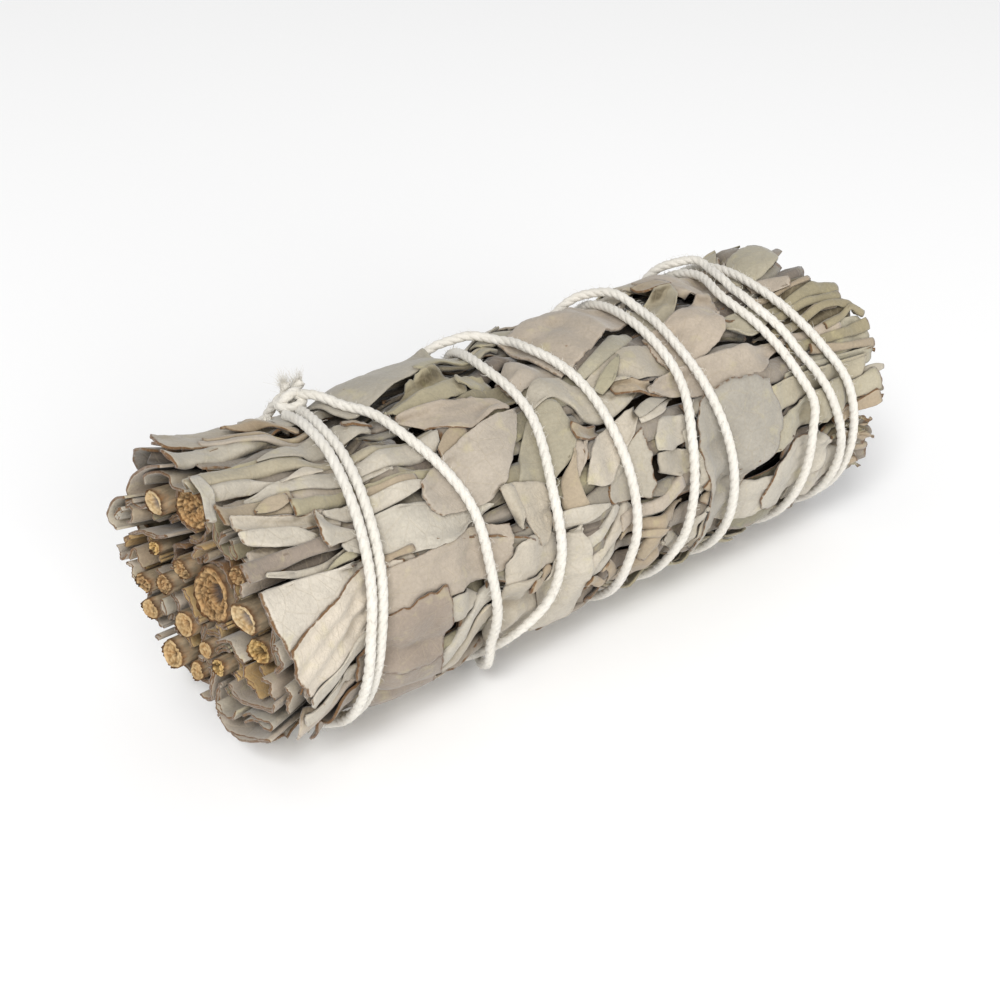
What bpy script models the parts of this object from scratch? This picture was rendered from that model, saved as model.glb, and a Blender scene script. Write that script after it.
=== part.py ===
"""Sage smudge stick: sprigs of dried white sage laid side by side and wound with cotton twine.

The bundle lies along X with its cut stems at -X and its leaf tips at +X. A place on its outside is
given as (along, angle): along in millimetres, angle in degrees round the bundle, 0 at the front (-Y),
90 on top, 180 at the back (+Y) and -90 underneath.
"""

import math
import random
from collections import namedtuple

import bmesh
import bpy
import numpy as np
from mathutils import Matrix, Vector

MM = 0.001

# Driving sizes, in millimetres
AXIS_HEIGHT = 20.0
LEAF_REACH = 18.2
FLAT_DEPTH = 0.45
CORE_RADIUS = 15.9
LAYER_STEP = 0.65
HEART_RADIUS = 9.4
FLARE_START = -41.0
BUTT_FLARE = 0.02
CORE_BUTT = -44.0
CORE_TIP = 41.0
GAP = 0.3
LEAF_THICKNESS = 0.65
LEAF_ROWS = 3
CROSSING_LIFT = 3
TWINE_DIAMETER = 1.5
TWINE_CLEARANCE = 0.2
STEM_DEPTH = 34.0
STEM_TAPER = 0.84
STEM_ROOM = 3.0
CUT_SLANT = 0.12
PITH_DEPTH = 0.6

# Colours read by eye from dry white sage, its cut stems and undyed cotton
LEAF_COLOUR = (0.58, 0.55, 0.46, 1.0)
STEM_COLOUR = (0.55, 0.34, 0.14, 1.0)
TWINE_COLOUR = (0.87, 0.85, 0.79, 1.0)

# Angles where one outer sprig ends and the next begins; the sprig in the middle comes after them
SPRIG_EDGES = (-100, -62, -12, 38, 78, 115, 145, 175, 220, 260)
HEART = len(SPRIG_EDGES) - 1

# The cut stems: where each ends along the bundle, and its place across it from the bundle's axis
Stem = namedtuple("Stem", "along across up diameter")
STEMS = (
    Stem(-48.8, -2.0, 3.1, 7.2),
    Stem(-49.5, 3.8, 4.0, 2.6),
    Stem(-49.8, 4.1, -4.2, 3.2),
    Stem(-49.6, -0.5, -5.5, 2.2),
    Stem(-49.9, -4.0, -6.0, 2.2),
    Stem(-50.5, 6.9, 0.6, 2.6),
    Stem(-48.3, -11.5, 0.1, 3.4),
    Stem(-49.5, -10.8, 4.9, 4.0),
    Stem(-48.5, -8.3, 9.1, 2.4),
    Stem(-47.9, 2.6, 12.6, 5.0),
    Stem(-50.0, 8.0, 11.7, 3.2),
    Stem(-49.3, 10.9, 3.4, 2.0),
    Stem(-50.5, 12.9, -2.4, 2.6),
    Stem(-50.5, 11.9, -5.9, 2.8),
    Stem(-50.5, 7.0, -10.2, 3.6),
    Stem(-49.0, 3.7, -11.6, 2.4),
)

# A leaf runs from its root, held in the bundle, to its free end. The order is from under to over.
Leaf = namedtuple("Leaf", "root free width form lift")
FRONT_LEAVES = (
    Leaf((-18, 72), (-49, 82), 3.2, "strip", 1),
    Leaf((3, 70), (17, 85), 3.2, "strip", 1),
    Leaf((30, 72), (39, 64), 3.0, "strip", 1),
    Leaf((30, 68), (50, 65), 3.4, "strip", 1),
    Leaf((-26, 84), (-41, 86), 3.6, "blade", 2),
    Leaf((-34, 105), (-49, 108), 6.5, "blunt", 2),
    Leaf((-34, 131), (-50, 131), 7.0, "blunt", 2),
    Leaf((-33, 157), (-50, 158), 7.0, "blunt", 2),
    Leaf((-34, 188), (-50, 187), 7.0, "blunt", 2),
    Leaf((-33, -58), (-47, -50), 6.0, "blunt", 2),
    Leaf((-38, 90), (-49, 92), 4.0, "strip", 2),
    Leaf((-30, 92), (-46, 100), 2.6, "strip", 2),
    Leaf((-35, 65), (-18, 66), 3.2, "strip", 2),
    Leaf((-20, 54), (-41, 58), 2.4, "strip", 2),
    Leaf((-34, 43), (-49, 43), 3.2, "strip", 2),
    Leaf((-30, 25), (-48, 14), 13.0, "blunt", 2),
    Leaf((-36, 14), (-16, 17), 7.2, "blunt", 2),
    Leaf((-26, -26), (-43, -27), 5.0, "blade", 2),
    Leaf((-40, -3), (-26, -2), 8.5, "blunt", 2),
    Leaf((-28, -33), (-19, -3), 4.0, "blade", 2),
    Leaf((-27, 110), (-7, 101), 10.0, "blade", 2),
    Leaf((-12, 40), (-2, 62), 6.5, "blunt", 2),
    Leaf((-5, 20), (-3, 40), 2.6, "blade", 2),
    Leaf((17, 28), (9, 34), 5.6, "blunt", 2),
    Leaf((-8, 5), (-17, 8), 5.6, "blunt", 2),
    Leaf((-9, -17), (-18, -16), 6.0, "blunt", 2),
    Leaf((5, -22), (10, -8), 3.4, "blade", 2),
    Leaf((3, 88), (20, 104), 10.0, "blunt", 2),
    Leaf((4, 63), (17, 73), 4.4, "blade", 2),
    Leaf((20, 84), (28, 93), 5.0, "blunt", 2),
    Leaf((17, -26), (19, -4), 2.8, "blade", 2),
    Leaf((29, -14), (22, -12), 5.2, "blunt", 2),
    Leaf((30, 30), (48, 24), 4.6, "strip", 2),
    Leaf((29, 13), (46, 20), 5.0, "strip", 2),
    Leaf((36, 52), (50, 56), 2.6, "strip", 2),
    Leaf((32, 36), (50, 35), 2.4, "strip", 2),
    Leaf((40, 8), (50, 8), 3.0, "strip", 2),
    Leaf((40, 87), (48, 98), 7.5, "blade", 2),
    Leaf((-32, 96), (-41, 105), 3.0, "blade", 3),
    Leaf((-35, 50), (-48, 57), 2.4, "strip", 3),
    Leaf((-33, 42), (-39, 54), 4.4, "blade", 3),
    Leaf((-38, 39), (-17, 34), 6.2, "blunt", 3),
    Leaf((-21, 83), (-11, 92), 5.0, "blade", 3),
    Leaf((-21, 76), (-8, 67), 4.8, "blade", 3),
    Leaf((-21, 44), (-7, 64), 7.5, "blade", 3),
    Leaf((-5, 62), (3, 70), 4.4, "blade", 3),
    Leaf((0, 67), (10, 52), 4.4, "blade", 3),
    Leaf((0, 26), (9, 47), 5.6, "blade", 3),
    Leaf((-12, 12), (-13, 37), 6.4, "blunt", 3),
    Leaf((4, 11), (8, 36), 5.4, "blunt", 3),
    Leaf((-4, -20), (-5, 12), 6.0, "blade", 3),
    Leaf((-3, 2), (3, 12), 2.8, "strip", 3),
    Leaf((-2, -14), (4, 5), 3.4, "strip", 3),
    Leaf((19, 68), (33, 84), 8.5, "blade", 3),
    Leaf((13, 50), (36, 48), 5.4, "blade", 3),
    Leaf((22, -11), (25, 36), 12.0, "blunt", 3),
    Leaf((43, -8), (28, -9), 7.2, "blunt", 3),
)

# The hidden side follows a rule: a leaf in each square of a loose grid, from a seeded draw
REAR_STARTS = (-47, -30, -11, 8, 27)
REAR_ANGLES = (130, 161, 190, 216, 244, 277, 312)
REAR_WIDTH = (7.0, 10.0)
REAR_REACH = (17, 23)
REAR_SEED = 41

# Leaf edges curled and folded at both ends of the bundle, placed by a seeded draw in each sprig
SPRIG_FOLDS = (2, 2)
HEART_FOLDS = (5, 8)
FOLD_SEED = 17

# Stretches underneath, between turns of twine, where bowed leaves reach what the bundle lies on
REST_PADS = ((-32.0, -24.5), (-3.5, 2.0), (28.0, 33.0))
REST_ANGLES = (-98.0, -72.0)

# The twine's route over the outside: ten turns, down the front and up the back
TWINE_ROUTE = (
    (-31.4, 112), (-32.6, 90), (-33.4, 70), (-36, 28), (-37.9, 0), (-38.8, -38), (-39.4, -90),
    (-38, -140), (-34, -190), (-28.5, -245), (-24.5, -270), (-23, -290), (-20, -322), (-19.5, -350),
    (-18.5, -370), (-17, -404), (-13.5, -428), (-11.5, -450), (-10, -500), (-8.5, -560), (-7, -590),
    (1, -610), (2, -630), (3.5, -655), (4, -680), (4.5, -720), (4, -740), (4.8, -775), (5.5, -830),
    (7, -880), (12, -930), (14, -950), (19.5, -968), (21, -990), (20.5, -1015), (21, -1040),
    (22, -1070), (23, -1110), (23.5, -1160), (25, -1220), (30, -1270), (35, -1315), (38, -1333),
    (36.2, -1352), (35.4, -1372), (38, -1394), (42, -1421), (44.8, -1455), (45, -1500), (44.4, -1560),
    (42, -1620), (40.5, -1675), (39.7, -1715), (41, -1739), (43.2, -1759), (46, -1780), (47, -1815),
    (47.2, -1860), (46.8, -1900), (44.5, -1935), (40.5, -1975), (38.5, -2010), (37, -2035),
    (36, -2059), (33.6, -2080), (34.6, -2100), (36.8, -2125), (38.4, -2140), (37.5, -2155),
    (37, -2182), (36.5, -2220), (34.5, -2270), (29.5, -2320), (24, -2360), (20.5, -2395),
    (18.6, -2423), (18, -2440), (17.5, -2470), (15.5, -2495), (14.5, -2520), (14, -2538), (13, -2557),
    (12.6, -2610), (11, -2650), (6, -2690), (0.5, -2730), (-4, -2765), (-6, -2790), (-6, -2820),
    (-8, -2850), (-8.5, -2880), (-10, -2900), (-14, -2920), (-17.5, -2940), (-20, -2970),
    (-21.5, -3010), (-23, -3060), (-25.3, -3100), (-29, -3125), (-30.9, -3150), (-31.7, -3170),
    (-34.3, -3212), (-36.2, -3240), (-37.1, -3276), (-37.1, -3330), (-37.2, -3390), (-36, -3440),
    (-32.3, -3478),
)
KNOT_PLACE = (-29.4, 117.0)


def envelope(along, angle):
    """How far from the axis leaves reach: a little less underneath, where the bundle lies flat."""
    down = max(0.0, -math.sin(math.radians(angle)))
    taper = max(0.0, along - 40.0) * 0.06
    flare = BUTT_FLARE * max(0.0, FLARE_START - along) ** 2
    return LEAF_REACH - FLAT_DEPTH * down**6 - taper + flare


def on_bundle(along, angle, radius):
    """The point at a place on the bundle, in metres."""
    turn = math.radians(angle)
    across = -radius * math.cos(turn)
    up = AXIS_HEIGHT + radius * math.sin(turn)
    return Vector((along, across, up)) * MM


def new_material(name, colour, roughness):
    material = bpy.data.materials.new(name)
    material.use_nodes = True
    shader = material.node_tree.nodes["Principled BSDF"]
    shader.inputs["Base Color"].default_value = colour
    shader.inputs["Roughness"].default_value = roughness
    shader.inputs["Metallic"].default_value = 0.0
    material.diffuse_color = colour
    return material


def new_object(name, shape):
    """An object in the scene from a bmesh, triangulated, with its faces pointing out."""
    bmesh.ops.triangulate(shape, faces=shape.faces)
    bmesh.ops.recalc_face_normals(shape, faces=shape.faces)
    if shape.calc_volume(signed=True) < 0:
        bmesh.ops.reverse_faces(shape, faces=shape.faces)
    mesh = bpy.data.meshes.new(name)
    shape.to_mesh(mesh)
    shape.free()
    item = bpy.data.objects.new(name, mesh)
    bpy.context.scene.collection.objects.link(item)
    return item


def remove(items):
    for item in items:
        bpy.data.objects.remove(item, do_unlink=True)


def add_boolean(item, others, operation):
    """Joins the item with the others, or cuts them from it, through one collection.

    The solver is MANIFOLD, because EXACT leaves shared edges where many thin blades cross.
    """
    group = bpy.data.collections.new("group")
    bpy.context.scene.collection.children.link(group)
    for other in others:
        group.objects.link(other)
    boolean = item.modifiers.new("boolean", "BOOLEAN")
    boolean.operation = operation
    boolean.operand_type = "COLLECTION"
    boolean.collection = group
    boolean.solver = "MANIFOLD"


def apply_modifiers(items):
    """Replaces each item's mesh by the one its modifiers make."""
    graph = bpy.context.evaluated_depsgraph_get()
    results = [bpy.data.meshes.new_from_object(item.evaluated_get(graph)) for item in items]
    for item, mesh in zip(items, results):
        for boolean in item.modifiers:
            bpy.data.collections.remove(boolean.collection)
        item.modifiers.clear()
        mesh.name = item.name
        item.data = mesh


def islands(shape):
    """The separate bodies of a bmesh, as lists of faces."""
    left = set(shape.faces)
    found = []
    while left:
        queue = [left.pop()]
        body = []
        while queue:
            face = queue.pop()
            body.append(face)
            for edge in face.edges:
                for other in edge.link_faces:
                    if other in left:
                        left.remove(other)
                        queue.append(other)
        found.append(body)
    return found


def volume_of(faces):
    """The volume that a body's triangles close in, negative where they face inwards."""
    total = 0.0
    for face in faces:
        first, second, third = (vert.co for vert in face.verts)
        total += first.dot(second.cross(third)) / 6.0
    return total


def keep_main_body(item):
    """Drops loose scraps and fills sealed hollows: only the largest body stays."""
    shape = bmesh.new()
    shape.from_mesh(item.data)
    bmesh.ops.triangulate(shape, faces=shape.faces)
    bodies = sorted(islands(shape), key=lambda body: abs(volume_of(body)))
    for body in bodies[:-1]:
        bmesh.ops.delete(shape, geom=body, context="FACES")
    shape.to_mesh(item.data)
    shape.free()


def width_share(form, row):
    """A leaf's width at a row from its root to its free end, as a share of its full width."""
    if form == "blade":
        return (0.5, 1.0, 0.85, 0.0)[row]
    if form == "strip":
        return (0.75, 1.0, 1.0, 0.85)[row]
    return (0.55, 0.95, 1.0, 0.88)[row]


def kept_in_sprig(sprig, angle, spare):
    """The angle, or the nearest one that stays clear of the next sprig."""
    margin = math.degrees((GAP / 2 + spare) / CORE_RADIUS)
    first = SPRIG_EDGES[sprig] + margin
    last = SPRIG_EDGES[sprig + 1] - margin
    turned = angle - 360 * round((angle - (first + last) / 2) / 360)
    return min(max(turned, first), last)


def leaf_place(leaf, row, column, grow):
    """Along, angle and radius of a point on a leaf's outer face; column is -1, 0 or 1."""
    root = Vector((leaf.root[0], math.radians(leaf.root[1]) * LEAF_REACH))
    free = Vector((leaf.free[0], math.radians(leaf.free[1]) * LEAF_REACH))
    forward = (free - root).normalized()
    share = row / LEAF_ROWS
    wave = 1.0 + 0.18 * math.sin(0.7 * sum(leaf.root) + 2.4 * row + 1.7 * column)
    broad = width_share(leaf.form, row)
    half = 0.5 * leaf.width * broad * wave + grow
    end_grow = grow * (row == LEAF_ROWS) - grow * (row == 0)
    reach = (free - root).length * share + end_grow
    flat = root + forward * reach + Vector((-forward.y, forward.x)) * half * column
    angle = math.degrees(flat.y / LEAF_REACH)
    if leaf.lift < CROSSING_LIFT:
        spare = 0.1 + 0.5 * abs(math.sin(leaf.root[0] + 3.0 * leaf.width + 0.8 * row))
        angle = kept_in_sprig(sprig_of(leaf.root[1]), angle, spare)
    rise = min(1.0, share * 3.2)
    sunk = CORE_RADIUS - 0.5
    fold = broad * (0.8 if leaf.form == "strip" else 0.35)
    lifted = envelope(flat.x, angle) - LAYER_STEP * (CROSSING_LIFT - leaf.lift) - fold * column**2
    return flat.x, angle, sunk + (lifted - sunk) * rise + grow


def thicken(shape, thickness, inwards):
    """Gives an open sheet a second face; inwards(vertex) is the direction it goes from the first."""
    made = bmesh.ops.extrude_face_region(shape, geom=shape.faces[:], use_keep_orig=True)
    for element in made["geom"]:
        if isinstance(element, bmesh.types.BMVert):
            element.co += inwards(element) * thickness * MM


def to_axis(vert):
    return Vector((0.0, -vert.co.y, AXIS_HEIGHT * MM - vert.co.z)).normalized()


def leaf_solid(name, leaf, grow=0.0):
    """A blade laid over the bundle, sunk at its root. With grow it is the room that it needs."""
    shape = bmesh.new()
    bmesh.ops.create_grid(shape, x_segments=2, y_segments=LEAF_ROWS, size=1.0)
    bmesh.ops.triangulate(shape, faces=shape.faces)
    for vert in shape.verts:
        row = round((vert.co.y + 1.0) * LEAF_ROWS / 2)
        vert.co = on_bundle(*leaf_place(leaf, row, round(vert.co.x), grow))
    bmesh.ops.remove_doubles(shape, verts=shape.verts, dist=0.00001)
    thicken(shape, LEAF_THICKNESS + 2.0 * grow, to_axis)
    return new_object(name, shape)


def sprig_of(angle):
    """The outer sprig that an angle round the bundle falls in."""
    turned = (angle - SPRIG_EDGES[0]) % 360 + SPRIG_EDGES[0]
    return sum(edge <= turned for edge in SPRIG_EDGES) - 1


def rear_leaves():
    """Leaves for the side that the front list doesn't reach."""
    draw = random.Random(REAR_SEED)
    leaves = []
    for layer in (1, 2):
        for row, angle in enumerate(REAR_ANGLES):
            for start in REAR_STARTS[layer - 1 :: 2]:
                root = (start + 7 * (row % 2) + draw.uniform(-1, 1), angle + draw.uniform(-4, 4))
                reach = draw.uniform(*REAR_REACH)
                free = (min(root[0] + reach, 47.5), root[1] + draw.uniform(-9, 9))
                form = draw.choice(("blade", "blunt", "strip"))
                width = draw.uniform(*REAR_WIDTH) * (0.55 if form == "strip" else 1.0)
                if start == REAR_STARTS[0] or draw.random() < 0.3:
                    root, free = (root[0] + 16, root[1]), (max(root[0] - 2, -49), free[1])
                leaves.append(Leaf(root, free, width, form, layer))
    return leaves


def core_solid(name, start, end):
    """The packed inner leaves of an outer sprig: a wedge of the bundle between two angles."""
    steps = max(2, round((end - start) / 13))
    shape = bmesh.new()
    bmesh.ops.create_grid(shape, x_segments=steps, y_segments=3, size=1.0)
    for vert in shape.verts:
        side = round((vert.co.x + 1.0) * steps / 2) / steps
        row = round((vert.co.y + 1.0) * 1.5)
        along = (CORE_BUTT, CORE_BUTT + 6, CORE_TIP - 6, CORE_TIP)[row]
        radius = CORE_RADIUS - (0.8 if row in (0, 3) else 0.0)
        margin = math.degrees(GAP / 2 / radius)
        vert.co = on_bundle(along, start + margin + side * (end - start - 2 * margin), radius)

    def inwards(vert):
        outer = Vector((vert.co.y, vert.co.z - AXIS_HEIGHT * MM))
        depth = outer.length - (HEART_RADIUS + GAP) * MM
        return to_axis(vert) * depth / MM

    thicken(shape, 1.0, inwards)
    return new_object(name, shape)


def heart_solid(name):
    """The sprig in the middle: a round core that the others stand around."""
    shape = bmesh.new()
    length = (CORE_TIP - CORE_BUTT) * MM
    middle = Vector(((CORE_TIP + CORE_BUTT) / 2, 0.0, AXIS_HEIGHT)) * MM
    place = Matrix.Translation(middle) @ Matrix.Rotation(math.radians(90), 4, "Y")
    radius = (HEART_RADIUS - 0.1) * MM
    bmesh.ops.create_cone(
        shape, cap_ends=True, segments=24, radius1=radius, radius2=radius, depth=length, matrix=place
    )
    return new_object(name, shape)


def fold_solid(name, centre, size, turn, sweep, ends):
    """A curled leaf edge at an end of the bundle: an arc across it, run out along it."""
    steps = 3
    shape = bmesh.new()
    bmesh.ops.create_grid(shape, x_segments=steps, y_segments=1, size=1.0)
    for vert in shape.verts:
        share = (vert.co.x + 1.0) / 2
        end = ends[vert.co.y > 0]
        taper = 1.0 if vert.co.y < 0 else 0.8
        angle = turn + sweep * (share - 0.5) * taper
        radius = size * (0.75 + 0.5 * share)
        across = centre[0] + radius * math.cos(angle)
        up = centre[1] + radius * math.sin(angle)
        vert.co = Vector((end, across, AXIS_HEIGHT + up)) * MM
    bmesh.ops.triangulate(shape, faces=shape.faces)
    hub = Vector((0.0, centre[0], AXIS_HEIGHT + centre[1])) * MM
    thicken(shape, LEAF_THICKNESS, lambda vert: Vector((0.0, *(hub - vert.co).yz)).normalized())
    return new_object(name, shape)


def fold_is_clear(sprig, centre, size, ends):
    """Whether a fold stays in its own sprig and off the stems."""
    outer = 1.25 * size + 0.3
    distance = math.hypot(*centre)
    if sprig == HEART:
        inside = distance + outer < HEART_RADIUS
    else:
        angle = math.degrees(math.atan2(centre[1], -centre[0]))
        spread = math.degrees(outer / distance)
        held = {sprig_of(angle - spread), sprig_of(angle + spread)}
        inside = held == {sprig} and HEART_RADIUS + outer + GAP < distance < CORE_RADIUS - outer
    if ends[1] > 0:
        return inside
    return inside and all(
        math.hypot(centre[0] - stem.across, centre[1] - stem.up) > outer + stem.diameter / 2 + GAP
        for stem in STEMS
    )


def add_folds(sprig, draw):
    """Curled leaf edges at both ends of one sprig."""
    folds = []
    counts = HEART_FOLDS if sprig == HEART else SPRIG_FOLDS
    stretches = ((CORE_BUTT + 2, -47.5, -2.5), (CORE_TIP - 2, 45.0, 4.0))
    for count, (root, free, reach) in zip(counts, stretches):
        made = 0
        for attempt in range(400):
            size = draw.uniform(1.2, 2.0) if attempt < 250 else 1.1
            if sprig == HEART:
                distance, angle = draw.uniform(0, HEART_RADIUS), draw.uniform(0, 360)
            else:
                distance = draw.uniform(HEART_RADIUS, CORE_RADIUS)
                angle = draw.uniform(SPRIG_EDGES[sprig], SPRIG_EDGES[sprig + 1])
            turn = math.radians(angle)
            centre = (-distance * math.cos(turn), distance * math.sin(turn))
            ends = (root, free + reach * draw.random())
            if not fold_is_clear(sprig, centre, size, ends):
                continue
            sweep = draw.uniform(2.2, 4.6)
            folds.append(fold_solid("fold", centre, size, draw.uniform(0, math.tau), sweep, ends))
            made += 1
            if made == count:
                break
    return folds


def rest_leaf(name, start, end):
    """A leaf bowed out underneath, flat at height 0 where the bundle rests on it."""
    shape = bmesh.new()
    bmesh.ops.create_grid(shape, x_segments=3, y_segments=5, size=1.0)
    places = (start - 3.0, start - 1.4, start, end, end + 1.4, end + 3.0)
    radii = (15.1, 17.9, None, None, 17.9, 15.1)
    shares = (0.45, 0.75, 1.0, 1.0, 0.75, 0.45)
    middle = (REST_ANGLES[0] + REST_ANGLES[1]) / 2
    half = (REST_ANGLES[1] - REST_ANGLES[0]) / 2
    for vert in shape.verts:
        row = round((vert.co.y + 1.0) * 2.5)
        angle = middle + half * vert.co.x * shares[row]
        radius = radii[row] or AXIS_HEIGHT / -math.sin(math.radians(angle))
        vert.co = on_bundle(places[row], angle, radius)
    bmesh.ops.triangulate(shape, faces=shape.faces)
    thicken(shape, LEAF_THICKNESS, to_axis)
    return new_object(name, shape)


def stem_solid(name, stem, grow=0.0):
    """A woody stem: cut across at the butt, narrowing and leaning towards the axis as it runs in.

    The cut is one slanted plane and each side is flat, so that no face of the solid is warped.
    """
    sides = 12 if stem.diameter > 3.5 else 8
    radius = (stem.diameter / 2 + grow) * MM
    narrowing = (1.0 - STEM_TAPER) / STEM_DEPTH
    slant = 0.0 if grow else CUT_SLANT * math.sin(stem.up)
    shape = bmesh.new()
    bmesh.ops.create_cone(
        shape, cap_ends=True, segments=sides, radius1=radius, radius2=radius, depth=1.0
    )
    for vert in shape.verts:
        offset = vert.co.x / MM
        across = stem.across + offset
        up = stem.up + vert.co.y / MM
        inwards = STEM_DEPTH + grow
        if vert.co.z < 0:
            inwards = slant * offset / (1.0 + slant * narrowing * across) - (STEM_ROOM if grow else 0.0)
        share = 1.0 - narrowing * inwards
        vert.co = Vector((stem.along + inwards, across * share, AXIS_HEIGHT + up * share)) * MM
    if not grow:
        shape.normal_update()
        cap = min(shape.faces, key=lambda face: face.calc_center_median().x)
        bmesh.ops.inset_individual(shape, faces=[cap], thickness=radius * 0.5)
        for vert in cap.verts:
            vert.co.x += PITH_DEPTH * MM
    return new_object(name, shape)


def smooth_route(route, step):
    """Places on a smooth curve through the route's own points, about a step apart."""
    points = [np.array(point, float) for point in route]
    points = [2 * points[0] - points[1]] + points + [2 * points[-1] - points[-2]]
    places = []
    for before, start, end, after in zip(points, points[1:], points[2:], points[3:]):
        arc = math.radians(abs(end[1] - start[1])) * LEAF_REACH
        count = max(1, round(math.hypot(arc, end[0] - start[0]) / step))
        for number in range(count):
            t = number / count
            place = start + 0.5 * t * (
                end - before
                + t * (2 * before - 5 * start + 4 * end - after + t * (3 * start - before - 3 * end + after))
            )
            places.append(place)
    places.append(points[-2])
    return places


def twine_lifts(points, spacing):
    """How far each point of the twine rises to clear a turn that lies under it."""
    places = np.array(points)
    apart = TWINE_DIAMETER + TWINE_CLEARANCE
    needed = np.zeros(len(places))
    for number, place in enumerate(places):
        later = places[number + round(12 / spacing) :]
        nearest = np.linalg.norm(later - place, axis=1).min(initial=apart)
        needed[number] = math.sqrt(max(0.0, apart**2 - nearest**2))
    lifts = np.zeros(len(places))
    bell = round(6.0 / spacing)
    for number in np.flatnonzero(needed):
        for offset in range(-bell, bell + 1):
            if 0 <= number + offset < len(places):
                slope = max(0.0, abs(offset) * spacing - 1.6) / 4.4
                share = 0.5 + 0.5 * math.cos(math.pi * min(1.0, slope))
                lifts[number + offset] = max(lifts[number + offset], needed[number] * share)
    return lifts


def twine_points():
    """The points of the wound twine, closer together where it crosses over itself."""
    spacing = 1.0
    places = smooth_route(TWINE_ROUTE, spacing)
    seat = GAP + TWINE_DIAMETER / 2
    radii = np.array([envelope(*place) + seat for place in places])
    seated = [on_bundle(*place, radius) / MM for place, radius in zip(places, radii)]
    lifts = twine_lifts(seated, spacing)
    points = []
    travelled = 99.0
    for place, radius, lift in zip(places, radii, lifts):
        travelled += spacing
        if travelled >= (3.0 if lift > 0.3 else 6.0):
            points.append(on_bundle(*place, radius + lift))
            travelled = 0.0
    points.append(on_bundle(*places[-1], radii[-1] + lifts[-1]))
    return points


def tube(name, points, diameter):
    """A round cord through the points, as a mesh."""
    curve = bpy.data.curves.new(name, "CURVE")
    curve.dimensions = "3D"
    curve.bevel_depth = diameter / 2 * MM
    curve.bevel_resolution = 2 if diameter > 1.0 else 1
    curve.use_fill_caps = True
    spline = curve.splines.new("POLY")
    spline.points.add(len(points) - 1)
    for slot, point in zip(spline.points, points):
        slot.co = (*point, 1.0)
    guide = bpy.data.objects.new(name, curve)
    bpy.context.scene.collection.objects.link(guide)
    graph = bpy.context.evaluated_depsgraph_get()
    shape = bmesh.new()
    shape.from_mesh(bpy.data.meshes.new_from_object(guide.evaluated_get(graph)))
    bmesh.ops.remove_doubles(shape, verts=shape.verts, dist=0.000001)
    bpy.data.objects.remove(guide, do_unlink=True)
    return new_object(name, shape)


def knot_pieces():
    """Two interlocked loops and the frayed tails that stand up from the knot."""
    seat = LEAF_REACH + GAP + 2.0
    centre = on_bundle(*KNOT_PLACE, seat)
    outward = to_outside(KNOT_PLACE[1])
    sideways = Vector((1.0, 0.0, 0.0))
    around = outward.cross(sideways)
    pieces = []
    for tilt, spread in ((0.5, 1.0), (-0.7, 1.15)):
        axis = (outward * math.cos(tilt) + around * math.sin(tilt)).normalized()
        first = sideways
        second = axis.cross(first)
        loop = []
        for step in range(9):
            turn = math.tau * step / 8.4
            offset = first * math.cos(turn) + second * math.sin(turn)
            loop.append(centre + offset * 1.35 * spread * MM + axis * (step - 4) * 0.22 * MM)
        pieces.append(tube("knot loop", loop, TWINE_DIAMETER * 1.05))
    for lean, reach in ((-0.25, 3.6), (0.8, 3.0)):
        tail = []
        for step in range(5):
            share = step / 4
            bend = sideways * lean * share + around * 0.35 * math.sin(2.6 * share)
            tail.append(centre + (outward * 0.75 * share + bend) * reach * MM)
        pieces.append(tube("tail", tail, TWINE_DIAMETER * 0.9))
        for strand in range(2):
            splay = sideways * math.cos(2.1 * strand) + around * math.sin(2.1 * strand)
            start = tail[-2]
            end = tail[-1] + (outward + splay * 0.9).normalized() * 2.2 * MM
            pieces.append(tube("fray", [start, tail[-1] + splay * 0.35 * MM, end], 0.65))
    return pieces


def to_outside(angle):
    turn = math.radians(angle)
    return Vector((0.0, -math.cos(turn), math.sin(turn)))


def touches(first, second):
    """Whether two objects' boxes meet."""
    boxes = []
    for item in (first, second):
        points = np.array([vert.co[:] for vert in item.data.vertices])
        boxes.append((points.min(axis=0), points.max(axis=0)))
    return bool((boxes[0][0] < boxes[1][1]).all() and (boxes[1][0] < boxes[0][1]).all())


def sprig_pieces():
    """For each sprig: its core, and what is fused to it before other sprigs' leaves cross it."""
    draw = random.Random(FOLD_SEED)
    cores = [core_solid("core", SPRIG_EDGES[sprig], SPRIG_EDGES[sprig + 1]) for sprig in range(HEART)]
    cores.append(heart_solid("core"))
    under = [add_folds(sprig, draw) for sprig in range(HEART + 1)]
    for leaf in rear_leaves() + list(FRONT_LEAVES):
        if leaf.lift < CROSSING_LIFT:
            under[sprig_of(leaf.root[1])].append(leaf_solid("leaf", leaf))
    for start, end in REST_PADS:
        under[0].append(rest_leaf("rest leaf", start, end))
    return cores, under


def crossing_leaves():
    """The topmost leaves, each cut back where one of another sprig lies over it, and their rooms."""
    leaves = [leaf for leaf in FRONT_LEAVES if leaf.lift == CROSSING_LIFT]
    over = [(sprig_of(leaf.root[1]), leaf_solid("leaf", leaf)) for leaf in leaves]
    rooms = [(sprig_of(leaf.root[1]), leaf_solid("room", leaf, GAP)) for leaf in leaves]
    for number, (sprig, piece) in enumerate(over):
        higher = [room for other, room in rooms[number + 1 :] if other != sprig and touches(piece, room)]
        if higher:
            add_boolean(piece, higher, "DIFFERENCE")
    return over, rooms


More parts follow.
